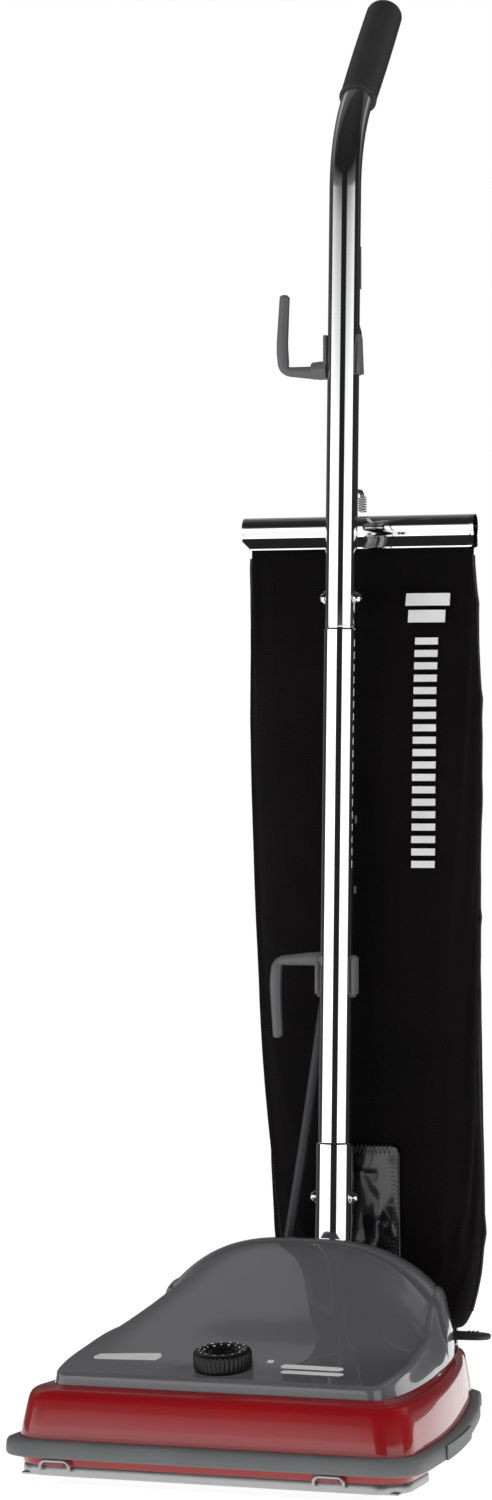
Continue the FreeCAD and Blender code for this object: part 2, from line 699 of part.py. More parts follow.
def upper_hook_bracket():
    saddle = hook_bracket(UPPER_HOOK_Z - 4, UPPER_HOOK_Z + 28, UPPER_R)
    pivot = on_tube(UPPER_HOOK_Z)
    boss = rod(pivot - X * 26, pivot - X * (UPPER_R + 0.2), 7.5)
    tab = box(UPPER_R + 0.3, UPPER_R + 3.2, pivot.y - 6, pivot.y + 5, UPPER_HOOK_Z - 5, UPPER_HOOK_Z + 27)
    tab_left = box(-UPPER_R - 3.2, -UPPER_R - 0.3, pivot.y - 6, pivot.y + 5, UPPER_HOOK_Z, UPPER_HOOK_Z + 28)
    whole = fuse([saddle, boss, tab, tab_left]).cut(rod(on_tube(780), on_tube(930), UPPER_R))
    return whole.cut(rod(pivot - X * 40, pivot - X * (UPPER_R + 1.8), 4 + RUN))


def cord_hook(height, finger_way, spindle):
    """An arm out from the tube, with a finger at its end that keeps the coiled cord on."""
    root = on_tube(height)
    knee = root - X * HOOK_REACH
    arm = Part.makeCone(5.8, 4.4, HOOK_REACH - 26.5, root - X * 26.5, -X)
    elbow = Part.makeSphere(4.4, knee)
    finger = Part.makeCone(4.2, 5.0, HOOK_FINGER, knee, Z * finger_way)
    tip = Part.makeSphere(5.0, knee + Z * (finger_way * HOOK_FINGER))
    pieces = [arm, elbow, finger, tip]
    if spindle:
        pieces.append(rod(root - X * (UPPER_R + 2.2), root - X * 27, 4))
    else:
        pieces.append(rod(root - X * (MIDDLE_R + 0.2), root - X * 27, 5.8))
    return fuse(pieces)


def lower_cord_hook():
    hook = cord_hook(LOWER_HOOK_Z, -1, False)
    saddle = hook_bracket(LOWER_HOOK_Z - 28, LOWER_HOOK_Z + 5, MIDDLE_R)
    middle = on_tube(LOWER_HOOK_Z)
    tab = box(MIDDLE_R + 0.3, MIDDLE_R + 3.2, middle.y - 6, middle.y + 5, LOWER_HOOK_Z - 27, LOWER_HOOK_Z + 4)
    tab_left = box(-MIDDLE_R - 3.2, -MIDDLE_R - 0.3, middle.y - 6, middle.y + 5, LOWER_HOOK_Z - 28, LOWER_HOOK_Z + 4)
    whole = fuse([hook, saddle, tab, tab_left])
    return whole.cut(rod(on_tube(LOWER_HOOK_Z - 60), on_tube(LOWER_HOOK_Z + 60), MIDDLE_R))


# ---- switch and lead ----
LEAD_R = 3.8
LEAD_START = V(-46, -4, 112)
LEAD_BEND = V(-12.5, 20, 345)
LEAD_END = V(0, 25.2, 505)


def behind_tube(height, back):
    return on_tube(height) + V(0, back, 0)


def switch_plate():
    middle = behind_tube(SWITCH_Z, UPPER_R)
    plate = box(-9, 9, middle.y - 5, middle.y + 3, SWITCH_Z - 17, SWITCH_Z + 17)
    window = box(-6, 6, middle.y - 10, middle.y + 10, SWITCH_Z - 11, SWITCH_Z + 11)
    return plate.cut(window).cut(rod(on_tube(SWITCH_Z - 40), on_tube(SWITCH_Z + 40), UPPER_R))


def rocker_switch():
    """Rocker with two slanted pads; it pivots on the line along X at its middle."""
    middle = behind_tube(SWITCH_Z, UPPER_R)
    outline = [(1.0, -9), (4.2, -8), (2.8, 0), (5.6, 8), (1.0, 9)]
    points = [(middle.y + y, SWITCH_Z + z) for y, z in outline]
    pin = rod(V(-5.4, middle.y + 1.5, SWITCH_Z), V(5.4, middle.y + 1.5, SWITCH_Z), 1.0)
    return fuse([plate_yz(points, -5.4, 5.4), pin])


def supply_gland():
    start = behind_tube(892, UPPER_R)
    way = V(0, 0.8, -0.6)
    gland = fuse([rod(start - way * 4, start + way * 5, 7), Part.makeCone(6, 4.6, 18, start + way * 5, way)])
    return gland.cut(rod(start - way * 10, start + way * 40, 3.6)).cut(rod(on_tube(850), on_tube(930), UPPER_R))


def lead_route():
    first = LEAD_BEND - LEAD_START
    second = LEAD_END - LEAD_BEND
    half = first.getAngle(second) / 2
    bend_r = 0.45 * min(first.Length, second.Length) / math.tan(half)
    print("lead bend radius", round(bend_r, 1), "length", round(first.Length + second.Length, 1))
    cut = bend_r * math.tan(half)
    into = LEAD_BEND - V(first).normalize() * cut
    out = LEAD_BEND + V(second).normalize() * cut
    inward = (V(second).normalize() - V(first).normalize()).normalize()
    middle = LEAD_BEND + inward * (bend_r / math.cos(half) - bend_r)
    return Part.Wire([
        Part.makeLine(LEAD_START, into),
        Part.Arc(into, middle, out).toShape(),
        Part.makeLine(out, LEAD_END),
    ])


def switch_lead():
    route = lead_route()
    ring = Part.Wire(Part.makeCircle(LEAD_R, LEAD_START, LEAD_BEND - LEAD_START))
    return route.makePipeShell([ring], True, False)


def lead_bushing():
    way = V(LEAD_BEND - LEAD_START).normalize()
    low = LEAD_START - way * 6
    collar = rod(low, LEAD_START, 7)
    sleeve = Part.makeCone(6.4, 4.9, 24, LEAD_START, way)
    sleeve = sleeve.cut(rod(LEAD_START, LEAD_START + way * 40, LEAD_R + 0.05))
    return fuse([collar, sleeve]).cut(handle_bail())


def lead_grommet():
    way = V(LEAD_END - LEAD_BEND).normalize()
    body = rod(LEAD_END, LEAD_END + way * 18, 6)
    root = on_tube(LEAD_END.z + 10)
    bridge = rod(root + Y * 10, root + Y * 20, 5)
    return fuse([body, bridge]).cut(rod(on_tube(460), on_tube(560), MIDDLE_R))


def cord_clips():
    clips = []
    way = V(LEAD_END - LEAD_BEND).normalize()
    for share in (0.55, 0.9):
        middle = LEAD_BEND + (LEAD_END - LEAD_BEND) * share
        ring = rod(middle - way * 3, middle + way * 3, LEAD_R + 1.6)
        band = rod(on_tube(middle.z - 3), on_tube(middle.z + 3), MIDDLE_R + 1.2)
        band = band.common(box(-40, 40, on_tube(middle.z).y + 3, 60, 0, 900))
        both = fuse([ring, band]).cut(rod(on_tube(middle.z - 9), on_tube(middle.z + 9), MIDDLE_R))
        clips.append(both.cut(rod(middle - way * 9, middle + way * 9, LEAD_R + 0.05)))
    return Part.makeCompound(clips)


# ---- bag ----
# height, left edge, right edge, front and rear of the filled bag
BAG_SECTIONS = [
    (BAG_BOTTOM, -44, 87, 52, 76),
    (98, -60, 96, 30, 86),
    (130, -67, 100, 27, 103),
    (200, -75, 98.5, 27, 120),
    (300, -84, 95.5, 29, 126),
    (420, -90.5, 95, 31, 128),
    (560, -98, 96.5, 36, 124),
    (650, -97.5, 95.5, 46, 100),
    (706, -95, 94.5, CHANNEL_Y - 5.4, CHANNEL_Y + 5.4),
    (CHANNEL_TOP - 6, -94, 94, CHANNEL_Y - 5.4, CHANNEL_Y + 5.4),
]


def bag_section(z, left, right, front, rear):
    round_off = min((rear - front) * 0.42, 34)
    corner = round_off * (1 - math.sqrt(0.5))

    def arc(a, m, b):
        return Part.Arc(V(a[0], a[1], z), V(m[0], m[1], z), V(b[0], b[1], z)).toShape()

    def line(a, b):
        return Part.makeLine(V(a[0], a[1], z), V(b[0], b[1], z))

    return Part.Wire([
        line((left + round_off, front), (right - round_off, front)),
        arc((right - round_off, front), (right - corner, front + corner), (right, front + round_off)),
        line((right, front + round_off), (right, rear - round_off)),
        arc((right, rear - round_off), (right - corner, rear - corner), (right - round_off, rear)),
        line((right - round_off, rear), (left + round_off, rear)),
        arc((left + round_off, rear), (left + corner, rear - corner), (left, rear - round_off)),
        line((left, rear - round_off), (left, front + round_off)),
        arc((left, front + round_off), (left + corner, front + corner), (left + round_off, front)),
    ])


def dust_bag():
    return Part.makeLoft([bag_section(*row) for row in BAG_SECTIONS], True, True)


def bag_inlet_patch():
    """Stiff panel on the bag's front that the fill tube opens behind."""
    return box(4, 52, 22.5, 30, 112, 222).cut(dust_bag())


def fill_tube():
    """Elbow that turns on the exhaust spigot and leads up into the bag."""
    collar = rod(V(4, PIVOT_Y, PIVOT_Z), V(26.5, PIVOT_Y, PIVOT_Z), SPIGOT_R + 2.5)
    leg = rod(V(16, PIVOT_Y, PIVOT_Z), V(16, PIVOT_Y + 12, 96), 11)
    bore = rod(V(0, PIVOT_Y, PIVOT_Z), V(40, PIVOT_Y, PIVOT_Z), SPIGOT_R + RUN)
    leg_bore = rod(V(16, PIVOT_Y, PIVOT_Z), V(16, PIVOT_Y + 14, 103), 9)
    return fuse([collar, leg]).cut(bore).cut(leg_bore).cut(dust_bag())


def bag_channel():
    outline = [(-9, 0), (-6, 0), (-6, 23), (6, 23), (6, 0), (9, 0), (9, 22), (5, 27), (-5, 27), (-9, 22)]
    points = [(CHANNEL_Y + y, CHANNEL_LOW + z) for y, z in outline]
    return plate_yz(points, -CHANNEL_HALF, CHANNEL_HALF)


def bag_hook():
    """Wire hook from the tube that carries the closing channel."""
    height = 752
    start = behind_tube(height, UPPER_R - 1)
    knee = V(0, CHANNEL_Y, height)
    arm = rod(start, knee, 1.8)
    drop = rod(knee, V(0, CHANNEL_Y, CHANNEL_TOP + GAP), 1.8)
    plate = box(-6, 6, start.y - 2, start.y + 3, height - 12, height + 12)
    whole = fuse([arm, drop, plate, Part.makeSphere(1.8, knee)])
    return whole.cut(rod(on_tube(700), on_tube(800), UPPER_R))


def bag_spring():
    return pipe(V(0, CHANNEL_Y, CHANNEL_TOP + 3), V(0, CHANNEL_Y, 748), 5, 3.4)


# ---- the machine ----
parts["base_housing"] = base_housing()
parts["furniture_guard"] = furniture_guard()
parts["nozzle_guard"] = nozzle_guard()
parts["guard_clips"] = Part.makeCompound([guard_clip(-118), guard_clip(96)])
parts["bottom_plate"] = bottom_plate()
parts["fan_housing"] = fan_housing()
parts["fan_cover"] = fan_cover()
parts["motor_housing"] = motor_housing()
parts["motor_end_cap"] = motor_end_cap()
parts["field_core"] = field_core()
parts["front_bearing"] = bearing(FAN_REAR - 3, FAN_REAR, 11)
parts["rear_bearing"] = bearing(MOTOR_REAR, MOTOR_REAR + 3, 8)
parts["carbon_brushes"] = both_sides(carbon_brush())
parts["drive_belt"] = drive_belt()
parts["roller_bearings"] = both_sides(roller_bearing())
parts["motor_hood"] = motor_hood()
parts["hood_screws"] = both_sides(hood_screw())
parts["exhaust_duct"] = exhaust_duct()
parts["trunnion_frame"] = trunnion_frame()
parts["trunnion_bolts"] = both_sides(trunnion_bolt())
parts["rear_axle"] = rear_axle()
parts["pedal_bracket"] = pedal_bracket()
parts["rotor_shaft"] = rotor_shaft()
parts["belt_pulley"] = belt_pulley()
parts["suction_fan"] = suction_fan()
parts["armature"] = armature()
parts["commutator"] = commutator()
parts["brush_roller"] = brush_roller()
parts["roller_bristles"] = roller_bristles()
parts["height_knob"] = height_knob()
parts["height_cam"] = height_cam()
parts["wheel_carriage"] = wheel_carriage()
parts["front_wheel_left"] = front_wheel(-1)
parts["front_wheel_right"] = front_wheel(1)
parts["rear_wheel_left"] = rear_wheel(-1)
parts["rear_wheel_right"] = rear_wheel(1)
parts["release_pedal"] = release_pedal()
parts["handle_bail"] = handle_bail()
parts["handle_socket"] = handle_socket()
parts["middle_tube"] = middle_tube()
parts["upper_tube"] = upper_tube()
parts["hand_grip"] = hand_grip()
parts["tube_bolts"] = Part.makeCompound([
    tube_bolt(BOLT_HEIGHTS[0], SOCKET_R),
    tube_bolt(BOLT_HEIGHTS[1], UPPER_R),
])
parts["upper_hook_bracket"] = upper_hook_bracket()
parts["upper_cord_hook"] = cord_hook(UPPER_HOOK_Z, 1, True)
parts["lower_cord_hook"] = lower_cord_hook()
parts["switch_plate"] = switch_plate()
parts["rocker_switch"] = rocker_switch()
parts["supply_gland"] = supply_gland()
parts["lead_bushing"] = lead_bushing()
parts["lead_grommet"] = lead_grommet()
parts["cord_clips"] = cord_clips()
parts["switch_lead"] = switch_lead()
parts["dust_bag"] = dust_bag()
parts["bag_inlet_patch"] = bag_inlet_patch()
parts["fill_tube"] = fill_tube()
parts["bag_channel"] = bag_channel()
parts["bag_hook"] = bag_hook()
parts["bag_spring"] = bag_spring()

extent = Part.makeCompound([shape for name, shape in parts.items() if name != "switch_lead"]).BoundBox
origin = V((extent.XMin + extent.XMax) / 2, (extent.YMin + extent.YMax) / 2, extent.ZMin)
print("origin", round(origin.x, 4), round(origin.y, 4), round(origin.z, 4))
for name, shape in parts.items():
    print(name, len(shape.Solids), "solids, valid" if shape.isValid() else "solids, NOT VALID")
    shape.translate(-origin)
    shape.exportStep("parts/" + name + ".step")
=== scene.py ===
import json
import math
import random

import bmesh
import bpy
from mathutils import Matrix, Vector, noise


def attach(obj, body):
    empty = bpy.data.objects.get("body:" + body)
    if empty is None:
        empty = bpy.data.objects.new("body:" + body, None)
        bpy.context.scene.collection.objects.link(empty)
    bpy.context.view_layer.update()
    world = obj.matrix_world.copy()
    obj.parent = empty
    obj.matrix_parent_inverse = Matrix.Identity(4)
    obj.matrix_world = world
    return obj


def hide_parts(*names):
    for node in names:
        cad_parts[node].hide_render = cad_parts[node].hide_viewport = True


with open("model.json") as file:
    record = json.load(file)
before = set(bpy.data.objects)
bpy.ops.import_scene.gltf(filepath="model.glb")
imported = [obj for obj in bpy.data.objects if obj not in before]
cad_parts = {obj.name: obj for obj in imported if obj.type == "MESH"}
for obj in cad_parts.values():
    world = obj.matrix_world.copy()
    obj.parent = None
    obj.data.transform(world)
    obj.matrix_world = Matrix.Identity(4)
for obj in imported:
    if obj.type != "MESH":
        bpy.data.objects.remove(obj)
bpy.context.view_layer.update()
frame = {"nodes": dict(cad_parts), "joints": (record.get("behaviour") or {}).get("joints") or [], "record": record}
joints = {joint["name"]: joint for joint in frame["joints"]}

# Sizes below are in millimetres in the drawing's frame: the handle tube stands near x = 0, y = 0,
# the nozzle points along -Y and the floor is z = 0. at() turns them into the row frame's metres.
MM = 0.001
PIVOT = Vector((0, 30, 50))
SHIFT_Y = joints["handle_recline"]["pos_m"][1] - PIVOT.y * MM


def at(x, y, z):
    return Vector((x * MM, y * MM + SHIFT_Y, z * MM))


def smooth(low, high, value):
    t = min(max((value - low) / (high - low), 0.0), 1.0)
    return t * t * (3 - 2 * t)


def blunt(value, power):
    """A sine or cosine raised to a power with its sign kept, for rounded squares."""
    return math.copysign(abs(value) ** power, value)


def eased(rows, value):
    """Smooth interpolation (Catmull-Rom) in a short list of rows that start with their own position."""
    count = len(rows)
    i = 0
    while i < count - 2 and value > rows[i + 1][0]:
        i += 1
    a, b = rows[i], rows[i + 1]
    span = b[0] - a[0]
    t = min(max((value - a[0]) / span, 0.0), 1.0)
    before = rows[max(i - 1, 0)]
    after = rows[min(i + 2, count - 1)]
    out = []
    for k in range(1, len(a)):
        ma = (b[k] - before[k]) / (b[0] - before[0]) * span
        mb = (after[k] - a[k]) / (after[0] - a[0]) * span
        t2, t3 = t * t, t * t * t
        out.append((2 * t3 - 3 * t2 + 1) * a[k] + (t3 - 2 * t2 + t) * ma
                   + (3 * t2 - 2 * t3) * b[k] + (t3 - t2) * mb)
    return out


# ---- camera, floor and lights ----
VIEW_TURN = math.radians(20.0)
CAMERA_DISTANCE = 3475.0
CAMERA_SIDE = 71.4
CAMERA_HEIGHT = 532.0
FOCAL_SHARE = 4379 / 1500


def make_camera():
    data = bpy.data.cameras.new("camera")
    data.lens = FOCAL_SHARE * 36.0
    data.sensor_width = 36.0
    data.shift_y = 0.010
    data.clip_end = 50
    camera = bpy.data.objects.new("camera", data)
    side = Vector((math.cos(VIEW_TURN), math.sin(VIEW_TURN), 0))
    back = Vector((math.sin(VIEW_TURN), -math.cos(VIEW_TURN), 0))
    spot = back * CAMERA_DISTANCE - side * CAMERA_SIDE
    camera.location = at(spot.x, spot.y, CAMERA_HEIGHT)
    camera.rotation_euler = (math.radians(90), 0, VIEW_TURN)
    bpy.context.collection.objects.link(camera)
    bpy.context.scene.camera = camera


def make_light(name, turn, height, distance, width, tall, power):
    data = bpy.data.lights.new(name, "AREA")
    data.shape = "RECTANGLE"
    data.size = width
    data.size_y = tall
    data.energy = power
    light = bpy.data.objects.new(name, data)
    angle = VIEW_TURN + math.radians(turn)
    target = Vector((0, 0.05, 0.5))
    light.location = Vector((math.sin(angle) * distance, -math.cos(angle) * distance, height))
    light.visible_glossy = False
    light.rotation_mode = "QUATERNION"
    light.rotation_quaternion = (light.location - target).to_track_quat("Z", "Y")
    bpy.context.collection.objects.link(light)


# Brightness of the room by direction: degrees to the right of the camera, seen from the machine.
SOFTBOX_POWER = 1.7
SOFTBOXES = [(-180, 0.0), (-103, 0.0), (-98, 1.0), (-28, 1.0), (-25, 0.0), (11, 0.0), (14, 0.92), (72, 0.92),
             (76, 0.0), (180, 0.0)]
SOFTBOX_RISE = [(-90, 0.0), (-34, 0.0), (-22, 0.75), (-4, 0.95), (6, 1.0), (12, 0.08), (22, 0.0), (90, 0.0)]
BACKDROP = [(-180, 0.12), (-140, 0.08), (-114, 0.02), (-104, 0.01), (0, 0.006), (90, 0.012), (146, 0.02),
            (160, 0.05), (180, 0.16)]
BACKDROP_RISE = [(-90, 1.0), (4, 1.0), (14, 0.35), (30, 0.0), (90, 0.0)]
CEILING = [(-90, 0.25), (-20, 0.06), (-4, 0.012), (16, 0.012), (40, 0.02), (70, 0.03), (90, 0.04)]
# from the horizon at the camera's side (0), over the top (90), to the horizon behind the machine (180)
OVERHEAD = [(0, 0.0), (84, 0.0), (90, 0.05), (124, 0.10), (126, 0.42), (140, 0.30), (154, 0.10), (164, 0.05),
            (170, 0.0), (180, 0.0)]
OVERHEAD_WIDTH = [(-0.66, 0.0), (-0.62, 1.0), (0.22, 1.0), (0.25, 0.0), (0.50, 0.0), (0.53, 0.9), (0.9, 0.9),
                  (0.93, 0)]


def feed(tree, node, values):
    """Set a node's inputs by name, each to a plain value or from the socket given."""
    for name, value in values.items():
        if isinstance(value, bpy.types.NodeSocket):
            tree.links.new(value, node.inputs[name])
        else:
            node.inputs[name].default_value = value


def add_node(tree, kind, **values):
    node = tree.nodes.new("ShaderNode" + kind)
    feed(tree, node, {name.replace("_", " "): value for name, value in values.items()})
    return node


def curve_node(tree, source, rows, low, high, name):
    """A ramp of brightness through (input, output) rows."""
    scaled = add_node(tree, "MapRange", From_Min=low, From_Max=high, Value=source)
    ramp = add_node(tree, "ValToRGB", Fac=scaled.outputs["Result"])
    ramp.name = name
    stops = ramp.color_ramp.elements
    stops.remove(stops[1])
    stops[0].color = [rows[0][1]] * 3 + [1]
    for place, value in rows[1:]:
        stops.new((place - low) / (high - low)).color = [value] * 3 + [1]
    return ramp.outputs["Color"]


def make_room(tree):
    """Two tall softboxes either side of the camera, a bright band overhead, a dim backdrop and ceiling."""
    def step(kind, a, b=None):
        node = tree.nodes.new("ShaderNodeMath")
        node.operation = kind
        feed(tree, node, {0: a} if b is None else {0: a, 1: b})
        return node.outputs["Value"]

    def curve(source, rows, low, high, name):
        return curve_node(tree, source, rows, low, high, name)

    turn = tree.nodes.new("ShaderNodeVectorRotate")
    turn.rotation_type = "Z_AXIS"
    feed(tree, turn, {"Angle": -VIEW_TURN, "Vector": add_node(tree, "TexCoord").outputs["Generated"]})
    split = add_node(tree, "SeparateXYZ", Vector=turn.outputs["Vector"])
    facing = step("MULTIPLY", split.outputs["Y"], -1.0)
    bearing = step("DEGREES", step("ARCTAN2", split.outputs["X"], facing))
    rise = step("DEGREES", step("ARCSINE", split.outputs["Z"]))
    pitch = step("DEGREES", step("ARCTAN2", split.outputs["Z"], facing))
    boxes = step("MULTIPLY", curve(bearing, SOFTBOXES, -180, 180, "softboxes"),
                 curve(rise, SOFTBOX_RISE, -90, 90, "softbox rise"))
    behind = step("MULTIPLY", curve(bearing, BACKDROP, -180, 180, "backdrop"),
                  curve(rise, BACKDROP_RISE, -90, 90, "backdrop rise"))
    ceiling = curve(rise, CEILING, -90, 90, "ceiling")
    overhead = step("MULTIPLY", curve(pitch, OVERHEAD, 0, 180, "overhead"),
                    curve(split.outputs["X"], OVERHEAD_WIDTH, -1, 1, "overhead width"))
    front = step("ADD", step("MULTIPLY", boxes, SOFTBOX_POWER), overhead)
    return step("ADD", front, step("ADD", behind, ceiling))


def make_studio():
    scene = bpy.context.scene
    scene.view_settings.view_transform = "Standard"
    world = bpy.data.worlds.new("studio")
    scene.world = world
    world.use_nodes = True
    tree = world.node_tree
    tree.nodes.clear()
    room = add_node(tree, "Background", Color=make_room(tree))
    seen = add_node(tree, "Background", Color=(1, 1, 1, 1))
    path = add_node(tree, "LightPath")
    mix = tree.nodes.new("ShaderNodeMixShader")
    feed(tree, mix, {0: path.outputs["Is Camera Ray"], 1: room.outputs["Background"],
                     2: seen.outputs["Background"]})
    add_node(tree, "OutputWorld", Surface=mix.outputs["Shader"])
    make_light("upper softbox", -30, 2.6, 1.7, 1.2, 1.2, 30)
    make_light("side softbox", 96, 1.2, 1.7, 0.9, 1.4, 16)

    rings = [ring_round(Vector((0, 0, 0)), Vector((1, 0, 0)), Vector((0, 1, 0)), radius, 96)
             for radius in (0.001, 0.6, 1.25)]
    floor = loft("floor", rings, caps=False)
    material = new_material("pale_floor", (0.42, 0.42, 0.42), 0.9, specular=0.05, grain=0.01, grain_size=3)
    glow = material.node_tree.nodes["Principled BSDF"]
    glow.inputs["Emission Color"].default_value = (1, 1, 1, 1)
    glow.inputs["Emission Strength"].default_value = 0.90
    floor.data.materials.append(material)


# ---- materials ----
def new_material(name, colour, roughness=0.5, metallic=0.0, specular=0.5, coat=0.0, coat_roughness=0.05,
                 sheen=0.0, grain=0.06, grain_size=40, rough_spread=0.06, bump=0.0, bump_size=400,
                 stretch=(1, 1, 1)):
    """A surface whose colour, roughness and relief come from noise at the sizes given (per metre)."""
    material = bpy.data.materials.new(name)
    material.use_nodes = True
    tree = material.node_tree
    place = add_node(tree, "TexCoord").outputs["Object"]
    scaled = add_node(tree, "Mapping", Scale=stretch, Vector=place).outputs["Vector"]
    cloud = add_node(tree, "TexNoise", Scale=grain_size, Detail=6, Vector=scaled).outputs["Fac"]
    tone = add_node(tree, "ValToRGB", Fac=cloud)
    dark, pale = tone.color_ramp.elements
    dark.position = 0.3
    pale.position = 0.7
    dark.color = [c * (1 - grain) for c in colour] + [1]
    pale.color = [min(c * (1 + grain), 1) for c in colour] + [1]
    spread = add_node(tree, "MapRange", To_Min=max(roughness - rough_spread, 0.02),
                      To_Max=min(roughness + rough_spread, 1), Value=cloud)
    shader = tree.nodes["Principled BSDF"]
    feed(tree, shader, {"Metallic": metallic, "Specular IOR Level": specular, "Coat Weight": coat,
                        "Coat Roughness": coat_roughness, "Sheen Weight": sheen,
                        "Base Color": tone.outputs["Color"], "Roughness": spread.outputs["Result"]})
    if bump:
        relief = add_node(tree, "TexNoise", Scale=bump_size, Detail=4, Vector=scaled)
        lift = add_node(tree, "Bump", Strength=bump, Distance=0.0006, Height=relief.outputs["Fac"])
        feed(tree, shader, {"Normal": lift.outputs["Normal"]})
    return material


WEAVE_SCALE = 900 / 6.28


def weave_material(name, colour, sheen):
    """Woven cloth: two crossed sets of fine threads, with faint larger clouds of tone."""
    material = new_material(name, colour, 0.85, grain=0.35, grain_size=9, sheen=sheen, specular=0.12)
    tree = material.node_tree
    place = tree.nodes["Texture Coordinate"].outputs["Object"]
    both = tree.nodes.new("ShaderNodeMath")
    both.operation = "ADD"
    for i, turn in enumerate(((0, 0, 0), (0, math.radians(90), 0))):
        bend = add_node(tree, "Mapping", Rotation=turn, Vector=place)
        wave = add_node(tree, "TexWave", Scale=WEAVE_SCALE, Distortion=0.6, Detail=1,
                        Vector=bend.outputs["Vector"])
        wave.bands_direction = "X"
        feed(tree, both, {i: wave.outputs["Fac"]})
    lift = add_node(tree, "Bump", Strength=0.35, Distance=0.0005, Height=both.outputs["Value"])
    feed(tree, tree.nodes["Principled BSDF"], {"Sheen Roughness": 0.45, "Normal": lift.outputs["Normal"]})
    return material


LOOK = {}


def make_looks():
    LOOK.update(
        red_paint=new_material("red_enamel", (0.33, 0.006, 0.010), 0.32, specular=0.3, coat=0.9,
                               coat_roughness=0.03, grain=0.05, grain_size=14, bump=0.03, bump_size=90),
        grey_vinyl=new_material("grey_vinyl", (0.150, 0.156, 0.158), 0.52, specular=0.4, bump=0.12,
                                bump_size=700),
        bright_steel=new_material("plated_steel", (0.42, 0.42, 0.42), 0.34, metallic=1, grain=0.05,
                                  bump=0.05, stretch=(1, 12, 12)),
        zinc_sheet=new_material("zinc_sheet", (0.48, 0.49, 0.50), 0.4, metallic=1, grain=0.12, bump=0.05),
        hood_plastic=new_material("hood_gloss", (0.125, 0.127, 0.136), 0.34, specular=0.4, coat=1.0,
                                  coat_roughness=0.03, grain=0.03, grain_size=18, bump=0.015, bump_size=60,
                                  rough_spread=0.03),
        black_plastic=new_material("black_satin", (0.006, 0.006, 0.007), 0.30, specular=0.4, grain=0.2,
                                   bump=0.08, bump_size=600),
        duct_plastic=new_material("black_gloss", (0.014, 0.014, 0.015), 0.16, grain=0.15, coat=0.4),
        cast_alloy=new_material("cast_alloy", (0.44, 0.44, 0.45), 0.45, metallic=1, grain=0.1, bump=0.3),
        motor_can=new_material("motor_enamel", (0.045, 0.046, 0.05), 0.4, grain=0.15, bump=0.06),
        copper=new_material("copper_and_iron", (0.50, 0.24, 0.11), 0.38, metallic=1, grain=0.3,
                            grain_size=300, bump=0.2),
        steel=new_material("ground_steel", (0.52, 0.52, 0.53), 0.3, metallic=1, grain=0.06, bump=0.05),
        carbon=new_material("carbon", (0.02, 0.02, 0.02), 0.5, grain=0.3, bump=0.1),
        rubber=new_material("belt_rubber", (0.018, 0.018, 0.018), 0.6, grain=0.2, bump=0.15),
        wheel_rubber=new_material("wheel_rubber", (0.025, 0.025, 0.026), 0.65, grain=0.2, bump=0.2),
        chrome=new_material("chrome", (0.86, 0.865, 0.87), 0.05, metallic=1, grain=0.015, rough_spread=0.02,
                            grain_size=25),
        hook_plastic=new_material("hook_satin", (0.112, 0.112, 0.117), 0.38, grain=0.06, bump=0.1,
                                  bump_size=500),
        grip_rubber=new_material("grip_satin", (0.030, 0.030, 0.031), 0.46, specular=0.4, grain=0.1,
                                 bump=0.18, bump_size=900),
        pedal_plastic=new_material("pedal_satin", (0.034, 0.038, 0.036), 0.38, grain=0.1, bump=0.08),
        bristle=new_material("nylon_bristle", (0.02, 0.02, 0.02), 0.5, grain=0.4, grain_size=900,
                             bump=0.3),
        roller_steel=new_material("roller_steel", (0.55, 0.55, 0.56), 0.3, metallic=1, grain=0.05),
        cable=new_material("cable_jacket", (0.040, 0.043, 0.047), 0.45, grain=0.08, bump=0.08, bump_size=500),
        bag_cloth=weave_material("bag_cloth", (0.0040, 0.0031, 0.0031), sheen=0.01),
        patch_vinyl=new_material("patch_vinyl", (0.006, 0.006, 0.008), 0.2, specular=0.5, coat=0.5,
                                 grain=0.2, bump=0.12, bump_size=45),
        white_print=new_material("white_print", (0.80, 0.80, 0.80), 0.6, grain=0.05, bump=0.1),
        piping=new_material("bag_piping", (0.022, 0.021, 0.021), 0.6, grain=0.3, bump=0.3, bump_size=1200),
        thread=new_material("sewing_thread", (0.15, 0.15, 0.155), 0.6, grain=0.2, bump=0.2, bump_size=1500),
    )


# ---- mesh helpers ----
def add_mesh(name, verts, faces, angle=35):
    mesh = bpy.data.meshes.new(name)
    mesh.from_pydata([tuple(v) for v in verts], [], faces)
    mesh.validate()
    work = bmesh.new()
    work.from_mesh(mesh)
    bmesh.ops.remove_doubles(work, verts=work.verts, dist=1e-6)
    bmesh.ops.recalc_face_normals(work, faces=work.faces)
    work.to_mesh(mesh)
    work.free()
    piece = bpy.data.objects.new(name, mesh)
    bpy.context.collection.objects.link(piece)
    shade(piece, angle)
    return piece


def shade(piece, angle=35):
    for face in piece.data.polygons:
        face.use_smooth = True
    piece.data.set_sharp_from_angle(angle=math.radians(angle))


def loft(name, rings, caps=True, angle=35):
    """Skin over closed rings of equal count; caps closes both ends."""
    count = len(rings[0])
    verts = [p for ring in rings for p in ring]
    faces = []
    for i in range(len(rings) - 1):
        for j in range(count):
            k = (j + 1) % count
            faces.append((i * count + j, i * count + k, (i + 1) * count + k, (i + 1) * count + j))
    if caps:
        faces.append(tuple(range(count - 1, -1, -1)))
        faces.append(tuple((len(rings) - 1) * count + j for j in range(count)))
    return add_mesh(name, verts, faces, angle)


def lapped(name, rings, angle, keep=lambda corners: True):
    """Skin over rings that also closes from the last ring back to the first."""
    count = len(rings[0])
    verts = [p for ring in rings for p in ring]
    faces = []
    for i in range(len(rings)):
        n = (i + 1) % len(rings)
        for j in range(count):
            k = (j + 1) % count
            corners = (i * count + j, i * count + k, n * count + k, n * count + j)
            if keep([verts[c] for c in corners]):
                faces.append(corners)
    return add_mesh(name, verts, faces, angle)


